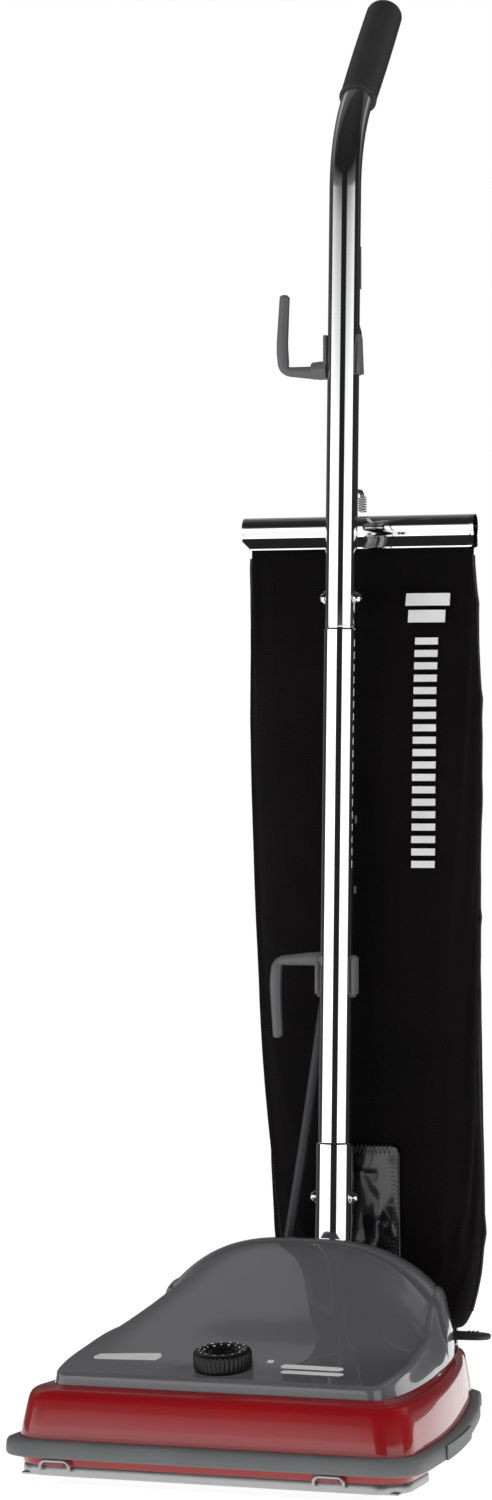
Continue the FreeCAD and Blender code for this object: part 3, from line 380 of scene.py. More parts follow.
def ring_round(centre, across, up, radius, count=48):
    return [centre + across * (radius * math.cos(2 * math.pi * i / count))
            + up * (radius * math.sin(2 * math.pi * i / count)) for i in range(count)]


def axes_for(way):
    way = way.normalized()
    across = way.cross(Vector((0, 0, 1)))
    if across.length < 0.1:
        across = way.cross(Vector((0, 1, 0)))
    across.normalize()
    return across, across.cross(way).normalized()


def turned(name, start, way, profile, count=64, angle=35):
    """A turned piece: profile is (distance along the axis, radius) in millimetres."""
    way = way.normalized()
    across, up = axes_for(way)
    rings = [ring_round(start + way * (a * MM), across, up, max(r, 0.01) * MM, count) for a, r in profile]
    return loft(name, rings, angle=angle)


def tube_along(name, path, radii, count=32, angle=50):
    """A round bar along points in metres, with a radius in millimetres at each."""
    rings = []
    across = None
    for i, p in enumerate(path):
        ahead = path[min(i + 1, len(path) - 1)]
        behind = path[max(i - 1, 0)]
        way = (ahead - behind).normalized()
        if across is None:
            across, up = axes_for(way)
        else:
            across = (across - way * across.dot(way)).normalized()
            up = across.cross(way).normalized()
        radius = radii[i] if isinstance(radii, list) else radii
        rings.append(ring_round(p, across, up, radius * MM, count))
    return loft(name, rings, angle=angle)


def rounded_path(points, radius, steps=10):
    """Corners of a path (metres) eased by an arc-like curve of about this radius (mm)."""
    out = [points[0]]
    for a, b, c in zip(points, points[1:], points[2:]):
        into = (a - b).normalized()
        away = (c - b).normalized()
        reach = min(radius * MM, (a - b).length * 0.5, (c - b).length * 0.5)
        for i in range(steps + 1):
            t = i / steps
            p = (b + into * reach) * (1 - t) ** 2 + b * 2 * t * (1 - t) + (b + away * reach) * t ** 2
            out.append(p)
    out.append(points[-1])
    return out


def box_piece(name, low, high, bevel=1.0, segments=3):
    """A block with rounded edges; corners in drawing millimetres."""
    work = bmesh.new()
    bmesh.ops.create_cube(work, size=1)
    for v in work.verts:
        v.co = at(*[low[k] if v.co[k] < 0 else high[k] for k in range(3)])
    bmesh.ops.bevel(work, geom=work.edges, offset=bevel * MM, segments=segments, affect="EDGES", profile=0.5)
    mesh = bpy.data.meshes.new(name)
    work.to_mesh(mesh)
    work.free()
    piece = bpy.data.objects.new(name, mesh)
    bpy.context.collection.objects.link(piece)
    shade(piece, 40)
    return piece


def join(name, pieces):
    verts, faces = [], []
    for piece in pieces:
        start = len(verts)
        verts += [v.co.copy() for v in piece.data.vertices]
        faces += [tuple(start + i for i in face.vertices) for face in piece.data.polygons]
        bpy.data.objects.remove(piece)
    mesh = bpy.data.meshes.new(name)
    mesh.from_pydata([tuple(v) for v in verts], [], faces)
    whole = bpy.data.objects.new(name, mesh)
    bpy.context.collection.objects.link(whole)
    shade(whole, 40)
    return whole


def apply_modifiers(piece):
    dg = bpy.context.evaluated_depsgraph_get()
    mesh = bpy.data.meshes.new_from_object(piece.evaluated_get(dg))
    piece.modifiers.clear()
    piece.data = mesh


def subdivide(piece, levels):
    step = piece.modifiers.new("smooth", "SUBSURF")
    step.levels = step.render_levels = levels


def cut_away(piece, *cutters):
    for cutter in cutters:
        step = piece.modifiers.new("cut", "BOOLEAN")
        step.operation = "DIFFERENCE"
        step.solver = "EXACT"
        step.object = cutter
    apply_modifiers(piece)
    for cutter in cutters:
        bpy.data.objects.remove(cutter)


def place(piece, body, look, nodes=(), slot=None):
    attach(piece, body)
    for node in nodes:
        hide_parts(node)
    piece.data.materials.clear()
    piece.data.materials.append(LOOK[look])


# ---- handle ----
TUBE_LEAN = 0.034
TUBE_WAY = Vector((0, TUBE_LEAN, 1)).normalized()


def tube_y(z):
    return -2.3 + TUBE_LEAN * (z - 243)


def on_tube(z, x=0.0, back=0.0):
    return at(x, tube_y(z) + back, z)


TUBE_R = 12.7
MIDDLE_R = 13.5
SOCKET_R = 15.1
JOINT_Z = 641.0
BEND_Z = 992.0
BEND_R = 118.0
GRIP_LEAN = math.radians(41)
GRIP_WAY = Vector((0, math.sin(GRIP_LEAN), math.cos(GRIP_LEAN)))
LEAN_ANGLE = math.atan(TUBE_LEAN)


def bend_point(angle):
    """A point on the tube's bend, where the tube leans back by this angle."""
    start = on_tube(BEND_Z)
    centre = start + Vector((0, math.cos(LEAN_ANGLE), -math.sin(LEAN_ANGLE))) * (BEND_R * MM)
    return centre + Vector((0, -math.cos(angle), math.sin(angle))) * (BEND_R * MM)


BEND_END = bend_point(GRIP_LEAN)


def make_handle():
    path = [on_tube(JOINT_Z + (BEND_Z - JOINT_Z) * i / 12) for i in range(13)]
    path += [bend_point(LEAN_ANGLE + (GRIP_LEAN - LEAN_ANGLE) * i / 24) for i in range(1, 25)]
    path += [BEND_END + GRIP_WAY * (0.09 * i / 4) for i in range(1, 5)]
    path.insert(1, path[0] + TUBE_WAY * 0.0008)
    radii = [12.2] + [TUBE_R] * (len(path) - 1)
    upper = tube_along("upper_tube_shown", path, radii, count=64)
    rear = tube_y(930) + TUBE_R
    cut_away(upper, box_piece("switch_hole", (-6, rear - 5, 919), (6, rear + 3, 941), 0.6))
    place(upper, "handle", "chrome", ["upper_tube"])

    low = on_tube(132)
    length = (on_tube(JOINT_Z) - low).length / MM
    middle = turned("middle_tube_shown", low, TUBE_WAY,
                    [(0, MIDDLE_R), (length - 2.0, MIDDLE_R), (length - 1.2, MIDDLE_R), (length - 0.4, 13.2),
                     (length, 12.4), (length + 1, 11.1), (length + 50, 11.1)])
    place(middle, "handle", "chrome", ["middle_tube"])

    socket = turned("socket_sleeve", on_tube(112), TUBE_WAY,
                    [(0, SOCKET_R), (118.4, SOCKET_R), (119.6, SOCKET_R), (120.6, 14.9), (121.1, 14.4),
                     (121.1, 13.52), (119, 13.52)])
    place(socket, "handle", "chrome", ["handle_socket"])

    ends = []
    for height, radius in ((190, SOCKET_R), (665, TUBE_R)):
        for side in (-1, 1):
            face = on_tube(height, side * (radius - 0.6))
            profile = [(0, 5.6), (1.2, 5.6), (1.5, 5.2), (1.5, 4.3), (2.4, 4.2), (3.6, 3.7), (4.6, 2.8),
                       (5.2, 1.4), (5.4, 0.02)]
            ends.append(turned("bolt_end", face, Vector((side, 0, 0)), profile, 32))
    bolts = join("tube_bolt_ends", ends)
    place(bolts, "handle", "chrome", ["tube_bolts"])


def make_grip():
    start = BEND_END + GRIP_WAY * 0.003
    length = 112.0
    profile = [(0.4, 12.9), (0, 13.4), (0, 14.7), (0.5, 15.3), (2.4, 15.3), (3.0, 14.9), (4.2, 14.8),
               (6, 14.8)]
    profile += [(a, 14.8 + 0.4 * math.sin(math.pi * (a - 6) / 96)) for a in (14, 26, 40, 55, 70, 84, 94)]
    nose = 8.5
    profile += [(length - nose + nose * math.sin(t), 14.8 - nose + nose * math.cos(t))
                for t in [math.radians(a) for a in range(0, 91, 10)]]
    profile.append((length - 0.4, 3.0))
    profile.append((length - 0.6, 0.02))
    grip = turned("hand_grip_shown", start, GRIP_WAY, profile, 64, angle=50)
    place(grip, "handle", "grip_rubber", ["hand_grip"])


# ---- cord hooks ----
def make_hook(name, height, way, body, nodes, inner):
    """L-shaped hook of tapering oval section; the finger points up or down."""
    y = tube_y(height)
    reach, finger = 50.2, 58.0
    path = [at(-x, y, height + way * rise)
            for x, rise in ((inner, 0), (30, 0), (reach, 0), (reach + 1.5, 20), (reach - 0.5, finger),
                            (reach - 0.9, finger + 3.5))]
    curve = rounded_path(path, 6.5, 10)
    total = len(curve)
    rings = []
    for i, p in enumerate(curve):
        ahead = curve[min(i + 1, total - 1)]
        behind = curve[max(i - 1, 0)]
        forward = (ahead - behind).normalized()
        side = Vector((0, 1, 0))
        up = forward.cross(side).normalized()
        drop = abs(p.z - height * MM) / (finger * MM)
        if drop < 0.02:
            half = 5.6 - 1.9 * min(max((-p.x / MM - 18) / 30, 0), 1)
        else:
            half = 4.9 - 0.9 * min(drop, 1.0)
            half -= 1.2 * smooth(0.16, 0.0, drop)
        if i == total - 1:
            half *= 0.45
        if drop < 0.1:
            p = p - Vector((0, 0, way * max(half - 3.6, 0) * MM * (1 - drop / 0.1)))
        rings.append([p + up * (half * MM * blunt(math.cos(a), 0.75))
                      + side * (half * 0.86 * MM * blunt(math.sin(a), 0.75))
                      for a in [2 * math.pi * k / 28 for k in range(28)]])
    hook = loft(name, rings, angle=60)
    place(hook, body, "hook_plastic", nodes)


def saddle(low, high, radius):
    """A band that wraps the back of the tube, with its two ends eased."""
    wall = 2.6
    steps = 8
    rings = []
    for i in range(steps + 1):
        z = low + (high - low) * i / steps
        ease = 0.8 if i in (0, steps) else 0.0
        inner, outer = [], []
        for k in range(25):
            angle = math.radians(-14 + 208 * k / 24)
            inner.append(on_tube(z, (radius + 0.1) * math.cos(angle), (radius + 0.1) * math.sin(angle)))
            r = radius + wall - ease
            outer.append(on_tube(z, r * math.cos(angle), r * math.sin(angle)))
        rings.append(inner + outer[::-1])
    return loft("saddle", rings, angle=40)


def make_hooks():
    height = 847
    make_hook("upper_hook_arm", height, 1, "hook", ["upper_cord_hook"], 19)
    y = tube_y(height)
    pieces = [saddle(843, 875, TUBE_R)]
    ear = box_piece("ear", (12.9, y - 6.5, 843), (16.0, y + 5, 864), 1.0)
    middle = at(0, y - 0.8, 0).y
    for v in ear.data.vertices:
        if v.co.z > at(0, 0, 860).z:
            v.co.y = middle + (v.co.y - middle) * 0.45
            v.co.z += 0.004
    pieces.append(ear)
    pieces.append(box_piece("ear", (-15.6, y - 5.5, 846), (-12.8, y + 4, 875), 1.0))
    pieces.append(turned("boss", at(-13, y, height), Vector((-1, 0, 0)),
                         [(0, 7.4), (7, 7.4), (8, 7.1), (12.2, 6.9), (13, 6.4), (13, 4.2), (10, 4.1)], 32))
    bracket = join("upper_hook_saddle", pieces)
    place(bracket, "handle", "hook_plastic", ["upper_hook_bracket"])

    height = 376
    make_hook("lower_hook_arm", height, -1, "handle", ["lower_cord_hook"], 12)
    y = tube_y(height)
    pieces = [saddle(348, 381, MIDDLE_R)]
    pieces.append(box_piece("ear", (13.8, y - 6.5, 350), (16.8, y + 5, 380), 1.0))
    pieces.append(box_piece("ear", (-17.0, y - 5.5, 350), (-13.9, y + 5, 381), 1.0))
    bracket = join("lower_hook_saddle", pieces)
    place(bracket, "handle", "hook_plastic")


# ---- lead ----
LEAD_R = 3.8
LEAD_START = at(-46, -4, 112)
LEAD_BEND = at(-12.5, 20, 345)
LEAD_END = at(0, 25.2, 505)


def make_lead():
    data = bpy.data.curves.new("switch_lead_cable", "CURVE")
    data.dimensions = "3D"
    line = data.splines.new("NURBS")
    points = [LEAD_START, LEAD_BEND, LEAD_END]
    line.points.add(len(points) - 1)
    for spot, p in zip(line.points, points):
        spot.co = (*p, 1)
        spot.radius = LEAD_R * MM
    line.order_u = 3
    line.use_endpoint_u = True
    line.resolution_u = 24
    data.bevel_depth = 1
    data.bevel_resolution = 8
    lead = bpy.data.objects.new("switch_lead_cable", data)
    bpy.context.collection.objects.link(lead)
    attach(lead, "handle")
    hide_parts("switch_lead")
    data.materials.append(LOOK["cable"])


# ---- base ----
BASE_FRONT = -298
BASE_REAR = 64
BASE_SIDE = [(-298, 152.5), (-272, 154), (-199, 150), (-122, 139), (-23, 118), (38, 100), (64, 92)]
DECK_SIDE = [(-281, 130), (-262, 131), (-192, 133), (-115, 124), (8, 99), (26, 93), (44, 88)]


def plan(side, front, rear, z, inset=0.0, front_r=24.0, rear_r=26.0):
    """Outline of the base at one height as points: straight front and rear, rounded corners, curved sides."""
    def half(y):
        return eased(side, y)[0] - inset

    front += inset
    rear -= inset
    right = []
    corner_steps, side_steps = 14, 40
    y_corner = front + front_r
    w_corner = half(y_corner)
    for i in range(corner_steps + 1):
        a = math.radians(90 * i / corner_steps)
        right.append((w_corner - front_r + front_r * math.sin(a), y_corner - front_r * math.cos(a)))
    y_end = rear - rear_r
    for i in range(1, side_steps):
        y = y_corner + (y_end - y_corner) * i / side_steps
        right.append((half(y), y))
    w_end = half(y_end)
    for i in range(corner_steps + 1):
        a = math.radians(90 * i / corner_steps)
        right.append((w_end - rear_r + rear_r * math.cos(a), y_end + rear_r * math.sin(a)))
    w_front = right[0][0]
    nose = [(-w_front + 2 * w_front * i / 12, front) for i in range(1, 12)]
    w_back = right[-1][0]
    back = [(w_back - 2 * w_back * i / 12, rear) for i in range(1, 12)]
    left = [(-x, y) for x, y in reversed(right)]
    return [at(x, y, z) for x, y in right + back + left + nose]


def base_ring(z, inset):
    return plan(BASE_SIDE, BASE_FRONT, BASE_REAR, z, inset)


def deck_ring(z, inset=0.0):
    return plan(DECK_SIDE, -281, 44, z, inset, 14, 20)


def mix_rings(a, b, t, z):
    out = [p.lerp(q, t) for p, q in zip(a, b)]
    for p in out:
        p.z = z * MM
    return out


def make_base():
    deck = deck_ring(71.2)
    section = [(14, 5.0), (14, 2.6), (14.8, 2.0), (20, 1.6), (33, 0.4), (44, 1.9), (54, 3.6), (61, 4.9),
               (64.4, 5.9), (66.8, 7.3), (68.4, 9.2), (69.3, 11.5)]
    rings = [base_ring(z, inset) for z, inset in section]
    top = base_ring(69.7, 13.6)
    rings.append(top)
    for t, z in ((0.35, 70.1), (0.7, 70.6), (0.92, 71.0)):
        rings.append(mix_rings(top, deck, t, z))
    rings.append(deck)
    rings.append(deck_ring(71.0, 4))
    rings.append(deck_ring(68.0, 4))
    inner = [deck_ring(66.5, 3), base_ring(60, 10.0), base_ring(33, 3.6), base_ring(14, 5.0)]
    shell = loft("base_shell", rings + inner, caps=False, angle=48)
    well = box_piece("well", (-74, 33, 40), (74, 90, 90), 3.0)
    cut_away(shell, well)
    shade(shell, 48)
    wall = box_piece("nozzle_wall", (-146, -234, 14.5), (146, -231, 57), 0.8)
    wall_cut = turned("shaft_gap", at(0, -240, 62), Vector((0, 1, 0)), [(0, 6.5), (20, 6.5)], 24)
    slot_cut = box_piece("post_gap", (7.5, -240, 50), (18.5, -225, 64), 0.5)
    cut_away(wall, wall_cut, slot_cut)
    whole = join("base_shell_shown", [shell, wall])
    shade(whole, 48)
    place(whole, "base", "red_paint", ["base_housing"])


def make_guard():
    """Soft vinyl strip round the base, with rounded lips and a lapped end on one side."""
    section = [(20.2, 1.8), (20.0, -4.5), (20.8, -7.0), (22.6, -8.0), (26.5, -8.0), (30.6, -7.6),
               (32.4, -6.6), (33.2, -4.6), (33.4, 0.2), (30, 1.0)]
    pieces = [lapped("guard_strip", [base_ring(z, inset) for z, inset in section], 50)]
    lap = base_ring(26, -8.9)[22:36]
    thick = 0.0006
    low = 0.0212
    rings = []
    for n, p in enumerate(lap):
        ahead = lap[min(n + 1, len(lap) - 1)]
        behind = lap[max(n - 1, 0)]
        way = (ahead - behind).normalized()
        side = Vector((way.y, -way.x, 0))
        high = 0.0322 - 0.0001 * n
        rings.append([p + side * (thick * s) + Vector((0, 0, z - p.z))
                      for s, z in ((1, high), (-1, high), (-1, low), (1, low))])
    pieces.append(loft("guard_lap", rings, angle=40))
    whole = join("furniture_guard_shown", pieces)
    place(whole, "base", "grey_vinyl", ["furniture_guard"])


def make_nozzle_guard():
    """Bright frame under the nozzle: a flat rim with an upright edge."""
    def cut_front(ring, y_limit):
        return [Vector((p.x, min(p.y, at(0, y_limit, 0).y), p.z)) for p in ring]

    section = [(14.0, 4.4), (13.9, 3.2), (12.5, 2.6), (8.5, 2.2), (6.9, 2.6), (6.1, 3.8), (6.0, 5.5),
               (6.0, 8), (7.0, 8), (7.6, 5.0), (9.0, 4.2), (13.0, 4.2)]
    rings = [cut_front(base_ring(z, inset), -228) for z, inset in section]
    limit = at(0, -228.5, 0).y
    pieces = [lapped("rim", rings, 50, lambda corners: any(p.y <= limit for p in corners))]
    for low, high in (((-146, -235, 6), (146, -226.5, 8)), ((-147, -292, 6), (-125, -228, 7.8)),
                      ((125, -292, 6), (147, -228, 7.8))):
        pieces.append(box_piece("plate", low, high, 0.6))
    for x in range(-100, 101, 50):
        path = [at(x, y, z) for y, z in ((-292, 7), (-288, 5.9), (-236, 5.9), (-232, 7))]
        pieces.append(tube_along("bar", path, 1.1, 12))
    whole = join("nozzle_guard_shown", pieces)
    place(whole, "base", "bright_steel", ["nozzle_guard"])


def make_clips():
    clips, lugs = [], []
    for x in (-118, 96):
        front = -298.8
        path = [at(x - 11.5, front, 10.5), at(x - 11.5, front, 15.4), at(x - 8.6, front - 0.3, 18.0),
                at(x + 8.6, front - 0.3, 18.0), at(x + 11.5, front, 15.4), at(x + 11.5, front, 10.5)]
        clips.append(tube_along("clip", rounded_path(path, 3.2, 6), 1.35, 14))
        lugs.append(box_piece("lug", (x - 7.5, -298.6, 14.2), (x + 7.5, -290, 17.6), 1.0))
    loops = join("guard_clip_loops", clips)
    place(loops, "base", "bright_steel", ["guard_clips"])
    whole = join("base_lugs", lugs)
    place(whole, "base", "red_paint")


# ---- hood ----
HOOD_FOOT = [(-281, 127), (-262, 131), (-236, 133), (-192, 132), (-150, 128), (-110, 122), (-74, 116),
             (-30, 107), (8, 97)]
HOOD_EDGE = [(-281, 80.4), (-277, 81), (-240, 87), (-198, 92), (-152, 98), (-110, 101), (-87, 108),
             (-71, 115), (-60, 124), (-40, 126), (-10, 120), (8, 110)]
HOOD_CROWN = [(-281, 80.6), (-262, 83.9), (-246, 86.6), (-232, 90.5), (-214, 98), (-178, 115.5), (-140, 133),
              (-106, 148), (-84, 156.5), (-70, 159.5), (-55, 160), (-40, 158), (-24, 154), (8, 138)]
HOOD_SQUARE = [(-281, 3.4, 1.8), (-230, 3.5, 1.6), (-190, 3.6, 1.3), (-150, 3.6, 1.15), (-110, 3.5, 1.05),
               (-70, 3.0, 1.0), (8, 3.0, 0.9)]
HOOD_SHIFT = [(-281, 0), (-235, 0), (-180, -3.0), (-140, -5.0), (-105, -6.5), (-70, -6.5), (8, -6.0)]
GROOVE = (-68.0, -65.6)


HOOD_NOSE, HOOD_REAR, HOOD_WALL = -277.4, 8.0, 2.8


def hood_lean(y):
    """How far the sides lean in, per millimetre of height."""
    return 0.05 * smooth(-152, -74, y)


def hood_corner(y):
    return 4.0 + 2.0 * smooth(-170, -100, y)


def hood_half(y):
    edge = eased(HOOD_EDGE, y)[0]
    return eased(HOOD_FOOT, y)[0] - 1.2 - hood_corner(y) - hood_lean(y) * (edge - 71)


def dome_height(x, y):
    """Height of the hood's top at a distance from the dome's own middle line."""
    edge = eased(HOOD_EDGE, y)[0]
    crown = max(eased(HOOD_CROWN, y)[0], edge)
    square, steep = eased(HOOD_SQUARE, y)
    t = min(abs(x) / hood_half(y), 1.0)
    return edge + (crown - edge) * (1 - t ** square) ** steep


def hood_height(x, y):
    """Top surface of the hood above a point; the dome leans to the left."""
    return dome_height(x - eased(HOOD_SHIFT, y)[0], y)


def hood_step(y):
    """The shallow groove across the hood, and the raised band behind it."""
    groove = smooth(GROOVE[0] - 0.7, GROOVE[0] + 0.2, y) * (1 - smooth(GROOVE[1] - 0.2, GROOVE[1] + 0.6, y))
    return 2.4 * smooth(GROOVE[1] - 0.2, GROOVE[1] + 0.6, y) - 1.5 * groove


def hood_ring(y, wall=0.0):
    """Section across the hood; a wall gives the plain inner face that far inside it."""
    foot = eased(HOOD_FOOT, y)[0] - wall
    nose_r = 9.0
    drop = 2.4 * (1 - smooth(-277.4, -275.2, y)) * (wall == 0) + wall
    nose = HOOD_NOSE + wall
    if y < nose + nose_r:
        d = nose_r - (y - nose)
        foot = foot - nose_r + math.sqrt(max(nose_r ** 2 - d * d, 0))
    edge = eased(HOOD_EDGE, y)[0] - drop
    corner = hood_corner(y) - 0.8 * wall
    half = foot - 1.2 - corner - hood_lean(y) * (edge - 71)
    ring = []
    for i in range(9):
        z = 71.2 + (edge - corner - 71.2) * i / 8
        ring.append((foot - 1.2 * i / 8 - hood_lean(y) * (z - 71.2), z))
    for i in range(1, 6):
        a = math.radians(90 * i / 6)
        ring.append((half + corner * math.cos(a), edge - corner + corner * math.sin(a)))
    steps = 44
    scale = hood_half(y) / half
    for i in range(steps + 1):
        x = half * math.cos(math.radians(90 * i / steps))
        ring.append((x, dome_height(min(x * scale, hood_half(y)), y) - drop))
    step = hood_step(y) * (wall == 0)
    out = []
    for x, z in ring:
        share = smooth(74, 96, z)
        out.append((x * (1 + step * share / 105), z + step * share * (z - 71) / 91))
    whole = out[:-1] + [(0, out[-1][1])] + [(-x, z) for x, z in reversed(out[:-1])]
    shift = eased(HOOD_SHIFT, y)[0]
    return [(x + shift * smooth(71, edge, z), z) for x, z in whole]


def make_hood():
    """An outer and an inner skin, joined along the foot and the rear edge, with openings cut through both."""
    stations = [HOOD_NOSE + 0.5 * i for i in range(8)] + [-273 + 3.2 * i for i in range(64)]
    stations += [-69.4 + 0.55 * i for i in range(11)] + [-62.5 + 3.0 * i for i in range(24)]
    stations = sorted(y for y in stations if y <= HOOD_REAR - 1) + [HOOD_REAR]
    outer = [[at(x, y, z) for x, z in hood_ring(y)] for y in stations]
    inner = []
    for y in stations:
        inside = HOOD_REAR + (y - HOOD_REAR) * (1 - HOOD_WALL / (HOOD_REAR - HOOD_NOSE))
        inner.append([at(x, inside, z) for x, z in hood_ring(inside, HOOD_WALL)])
    count, rows = len(outer[0]), len(stations)
    verts = [p for ring in outer + inner for p in ring]
    faces = []
    for base in (0, rows * count):
        for i in range(rows - 1):
            for j in range(count - 1):
                a = base + i * count + j
                faces.append((a, a + 1, a + count + 1, a + count))
        for j in range(count // 2):
            if j + 1 < count - 2 - j:
                faces.append((base + j, base + count - 1 - j, base + count - 2 - j, base + j + 1))
    gap = rows * count
    for j in range(count - 1):
        a = (rows - 1) * count + j
        faces.append((a, a + 1, a + 1 + gap, a + gap))
    for i in range(rows - 1):
        for a in (i * count, i * count + count - 1):
            faces.append((a, a + count, a + count + gap, a + gap))
    faces.append((0, count - 1, count - 1 + gap, gap))
    hood = add_mesh("motor_hood_shown", verts, faces, 50)
    cutters = [
        box_piece("notch", (-54, -23, 90), (21, 40, 220), 8.0, 5),
        box_piece("spread", (-80, -18, 50), (80, 30, 116), 6.0, 4),
        turned("stem", at(KNOB_X, KNOB_Y, 60), Vector((0, 0, 1)), [(0, 7), (50, 7)], 32),
        box_piece("slot", (68, -1, 60), (130, 30, 96), 3.0),
        box_piece("corner_gap", (96, -8, 60), (130, 30, 80), 2.0),
    ]
    for i in range(4):
        y = -62.5 + 4.6 * i
        x = hood_half(y) - eased(HOOD_SHIFT, y)[0]
        cutters.append(box_piece("slit", (-x - 14, y - 1.0, 120), (-x + 22, y + 1.0, 137), 0.8))
    cut_away(hood, *cutters)
    shade(hood, 42)
    place(hood, "base", "hood_plastic", ["motor_hood"])


def on_hood(x, y, lift):
    return at(x, y, hood_height(x, y) + lift)


def make_hood_marks():
    """Plain raised bars where a maker's words would be, and a pointer mark beside the knob."""
    bars = []
    rows = [((-111, -237), (-58, -235), 12.5), ((39, -241), (88, -241), 7.5),
            ((43, -252.5), (92, -252.5), 7.5), ((26, -234), (31, -234), 4.5)]
    for (x0, y0), (x1, y1), wide in rows:
        rings = []
        for i in range(25):
            t = i / 24
            x, y = x0 + (x1 - x0) * t, y0 + (y1 - y0) * t
            half = wide / 2 * math.sqrt(max(1 - abs(2 * t - 1) ** 24, 0.02))
            rings.append([on_hood(x, y + side * half, lift)
                          for side, lift in ((-1, -0.3), (-1, 0.12), (1, 0.12), (1, -0.3))])
        bars.append(loft("bar", rings, angle=50))
    marks = join("hood_marks", bars)
    place(marks, "base", "white_print", slot="hood_plastic")


# ---- height knob ----
KNOB_X, KNOB_Y = -3.0, -250.0
KNOB_WAY = Vector((0, -0.15, 1)).normalized()
KNOB_FOOT = at(KNOB_X, KNOB_Y, 81 + 0.15 * (KNOB_Y + 277) + 1.6)


def make_knob():
    """Round knob with a knurled skirt, a dished top and a raised boss, and a dial ring with ticks."""
    across, up = axes_for(KNOB_WAY)
    # height, radius, depth of the knurling
    profile = [(-6, 5.0, 0), (-0.1, 5.0, 0), (0.0, 20.2, 0), (0.5, 21.5, 0.5), (1.6, 21.9, 1),
               (10.4, 21.9, 1), (11.8, 21.5, 0.6), (12.8, 20.5, 0.1)]
    dish = [(13.3, 19.2), (13.6, 17.2), (13.4, 15.8), (12.6, 14.2), (11.6, 12.8), (11.0, 11.6), (11.2, 11.0),
            (11.8, 10.6), (11.9, 10.0), (11.4, 9.4), (8.4, 8.6), (7.9, 7.4), (7.8, 0.02)]
    profile += [(height, radius, 0) for height, radius in dish]
    count = 288
    rings = []
    for height, radius, knurl in profile:
        ring = []
        for k in range(count):
            a = 2 * math.pi * k / count
            ridge = 0.5 - 0.5 * math.cos(36 * a)
            r = radius - 1.05 * knurl * ridge ** 2
            out = across * math.cos(a) + up * math.sin(a)
            ring.append(KNOB_FOOT + KNOB_WAY * (height * MM) + out * (r * MM))
        rings.append(ring)
    knob = loft("height_knob_shown", rings, angle=38)
    place(knob, "knob", "black_plastic", ["height_knob"])

    ticks = []
    for k in range(16):
        a = math.radians(22.5 * k)
        way = across * math.cos(a) + up * math.sin(a)
        side = KNOB_WAY.cross(way)
        start = KNOB_FOOT + way * (0.0142 if k % 2 else 0.0136) + KNOB_WAY * (0.0126 if k % 2 else 0.0123)
        end = KNOB_FOOT + way * 0.0178 + KNOB_WAY * 0.01365
        wide = side * (0.00042 if k % 2 else 0.0008)
        high = KNOB_WAY * 0.0002
        rings = [[p - wide - high, p - wide + high, p + wide + high, p + wide - high]
                 for p in (start, start.lerp(end, 0.5), end)]
        ticks.append(loft("tick", rings, angle=40))
    dial = join("dial_ticks", ticks)
    place(dial, "knob", "white_print", slot="black_plastic")

    ring = turned("knob_seat", KNOB_FOOT - KNOB_WAY * 0.0022, KNOB_WAY,
                  [(0, 23.6), (0.5, 24.4), (1.1, 24.2), (1.4, 23.4), (1.2, 22.0), (0.2, 21.4)], 96)
    place(ring, "base", "hood_plastic")


# ---- pedal ----
def make_pedal():
    y, z = 29, 80
    rings = []
    rows = [(74, 7.2, 2.2), (74.6, 8.4, 3.0), (78, 8.8, 3.3), (90, 8.9, 3.3), (104, 9.0, 3.1),
            (110, 8.8, 2.9), (114, 7.8, 2.7), (117, 5.8, 2.4), (118.6, 3.2, 1.9), (119.1, 1.0, 1.2)]
    for x, wide, thick in rows:
        rings.append([at(x, y + wide * blunt(math.cos(a), 0.6), z + thick * blunt(math.sin(a), 0.75))
                      for a in [2 * math.pi * k / 32 for k in range(32)]])
    pedal = loft("release_pedal_shown", rings, angle=60)
    place(pedal, "pedal", "pedal_plastic", ["release_pedal"])
    ribs = [box_piece("rib", (x - 0.7, y - 6.5, z + 2.2), (x + 0.7, y + 6.5, z + 3.6), 0.5)
            for x in (100, 103.5, 107)]
    tread = join("pedal_ribs", ribs)
    place(tread, "pedal", "pedal_plastic")


# ---- bag ----
# height, left edge, right edge, front, rear, squareness of the outline
BAG_ROWS = [(80.5, -40, 82, 56, 74, 2.6), (84, -50, 88, 46, 79, 2.7), (98, -60, 95.5, 31, 86, 3.0),
            (130, -67, 100, 28, 103, 3.2), (200, -75, 98.5, 28, 120, 3.3), (300, -84, 95.5, 30, 126, 3.3),
            (420, -90.5, 95, 32, 128, 3.2), (560, -98, 96.5, 37, 124, 3.0), (650, -97.5, 95.5, 46, 100, 2.8),
            (690, -96, 94.6, 57, 76, 3.0), (706, -95, 94.5, 61, 71, 4.0), (727, -94, 94, 61, 71, 5.0)]
BAG_ROUND = 112


def bag_fold(x, y, z):
    """Folds of the hanging cloth in millimetres: long drapes, a few sharp creases and small ripples."""
    hang = smooth(716, 660, z)
    p = Vector((x, y, z))
    drape = noise.noise(Vector((x / 34, y / 50, z / 260)))
    slump = noise.noise(Vector((x / 70 + 5, y / 80, z / 90)))
    crease = 1 - abs(noise.noise(Vector(((x + 0.5 * z) / 46, y / 60, (z - 0.35 * x) / 120 + 3)))) * 2
    ripple = noise.noise(p / 15)
    low = 1.6 * smooth(330, 120, z)
    folds = 1.5 * drape + (1.6 + low) * slump + (1.0 + low) * max(crease, 0) ** 5 + 0.35 * ripple
    return hang * folds - 1.2


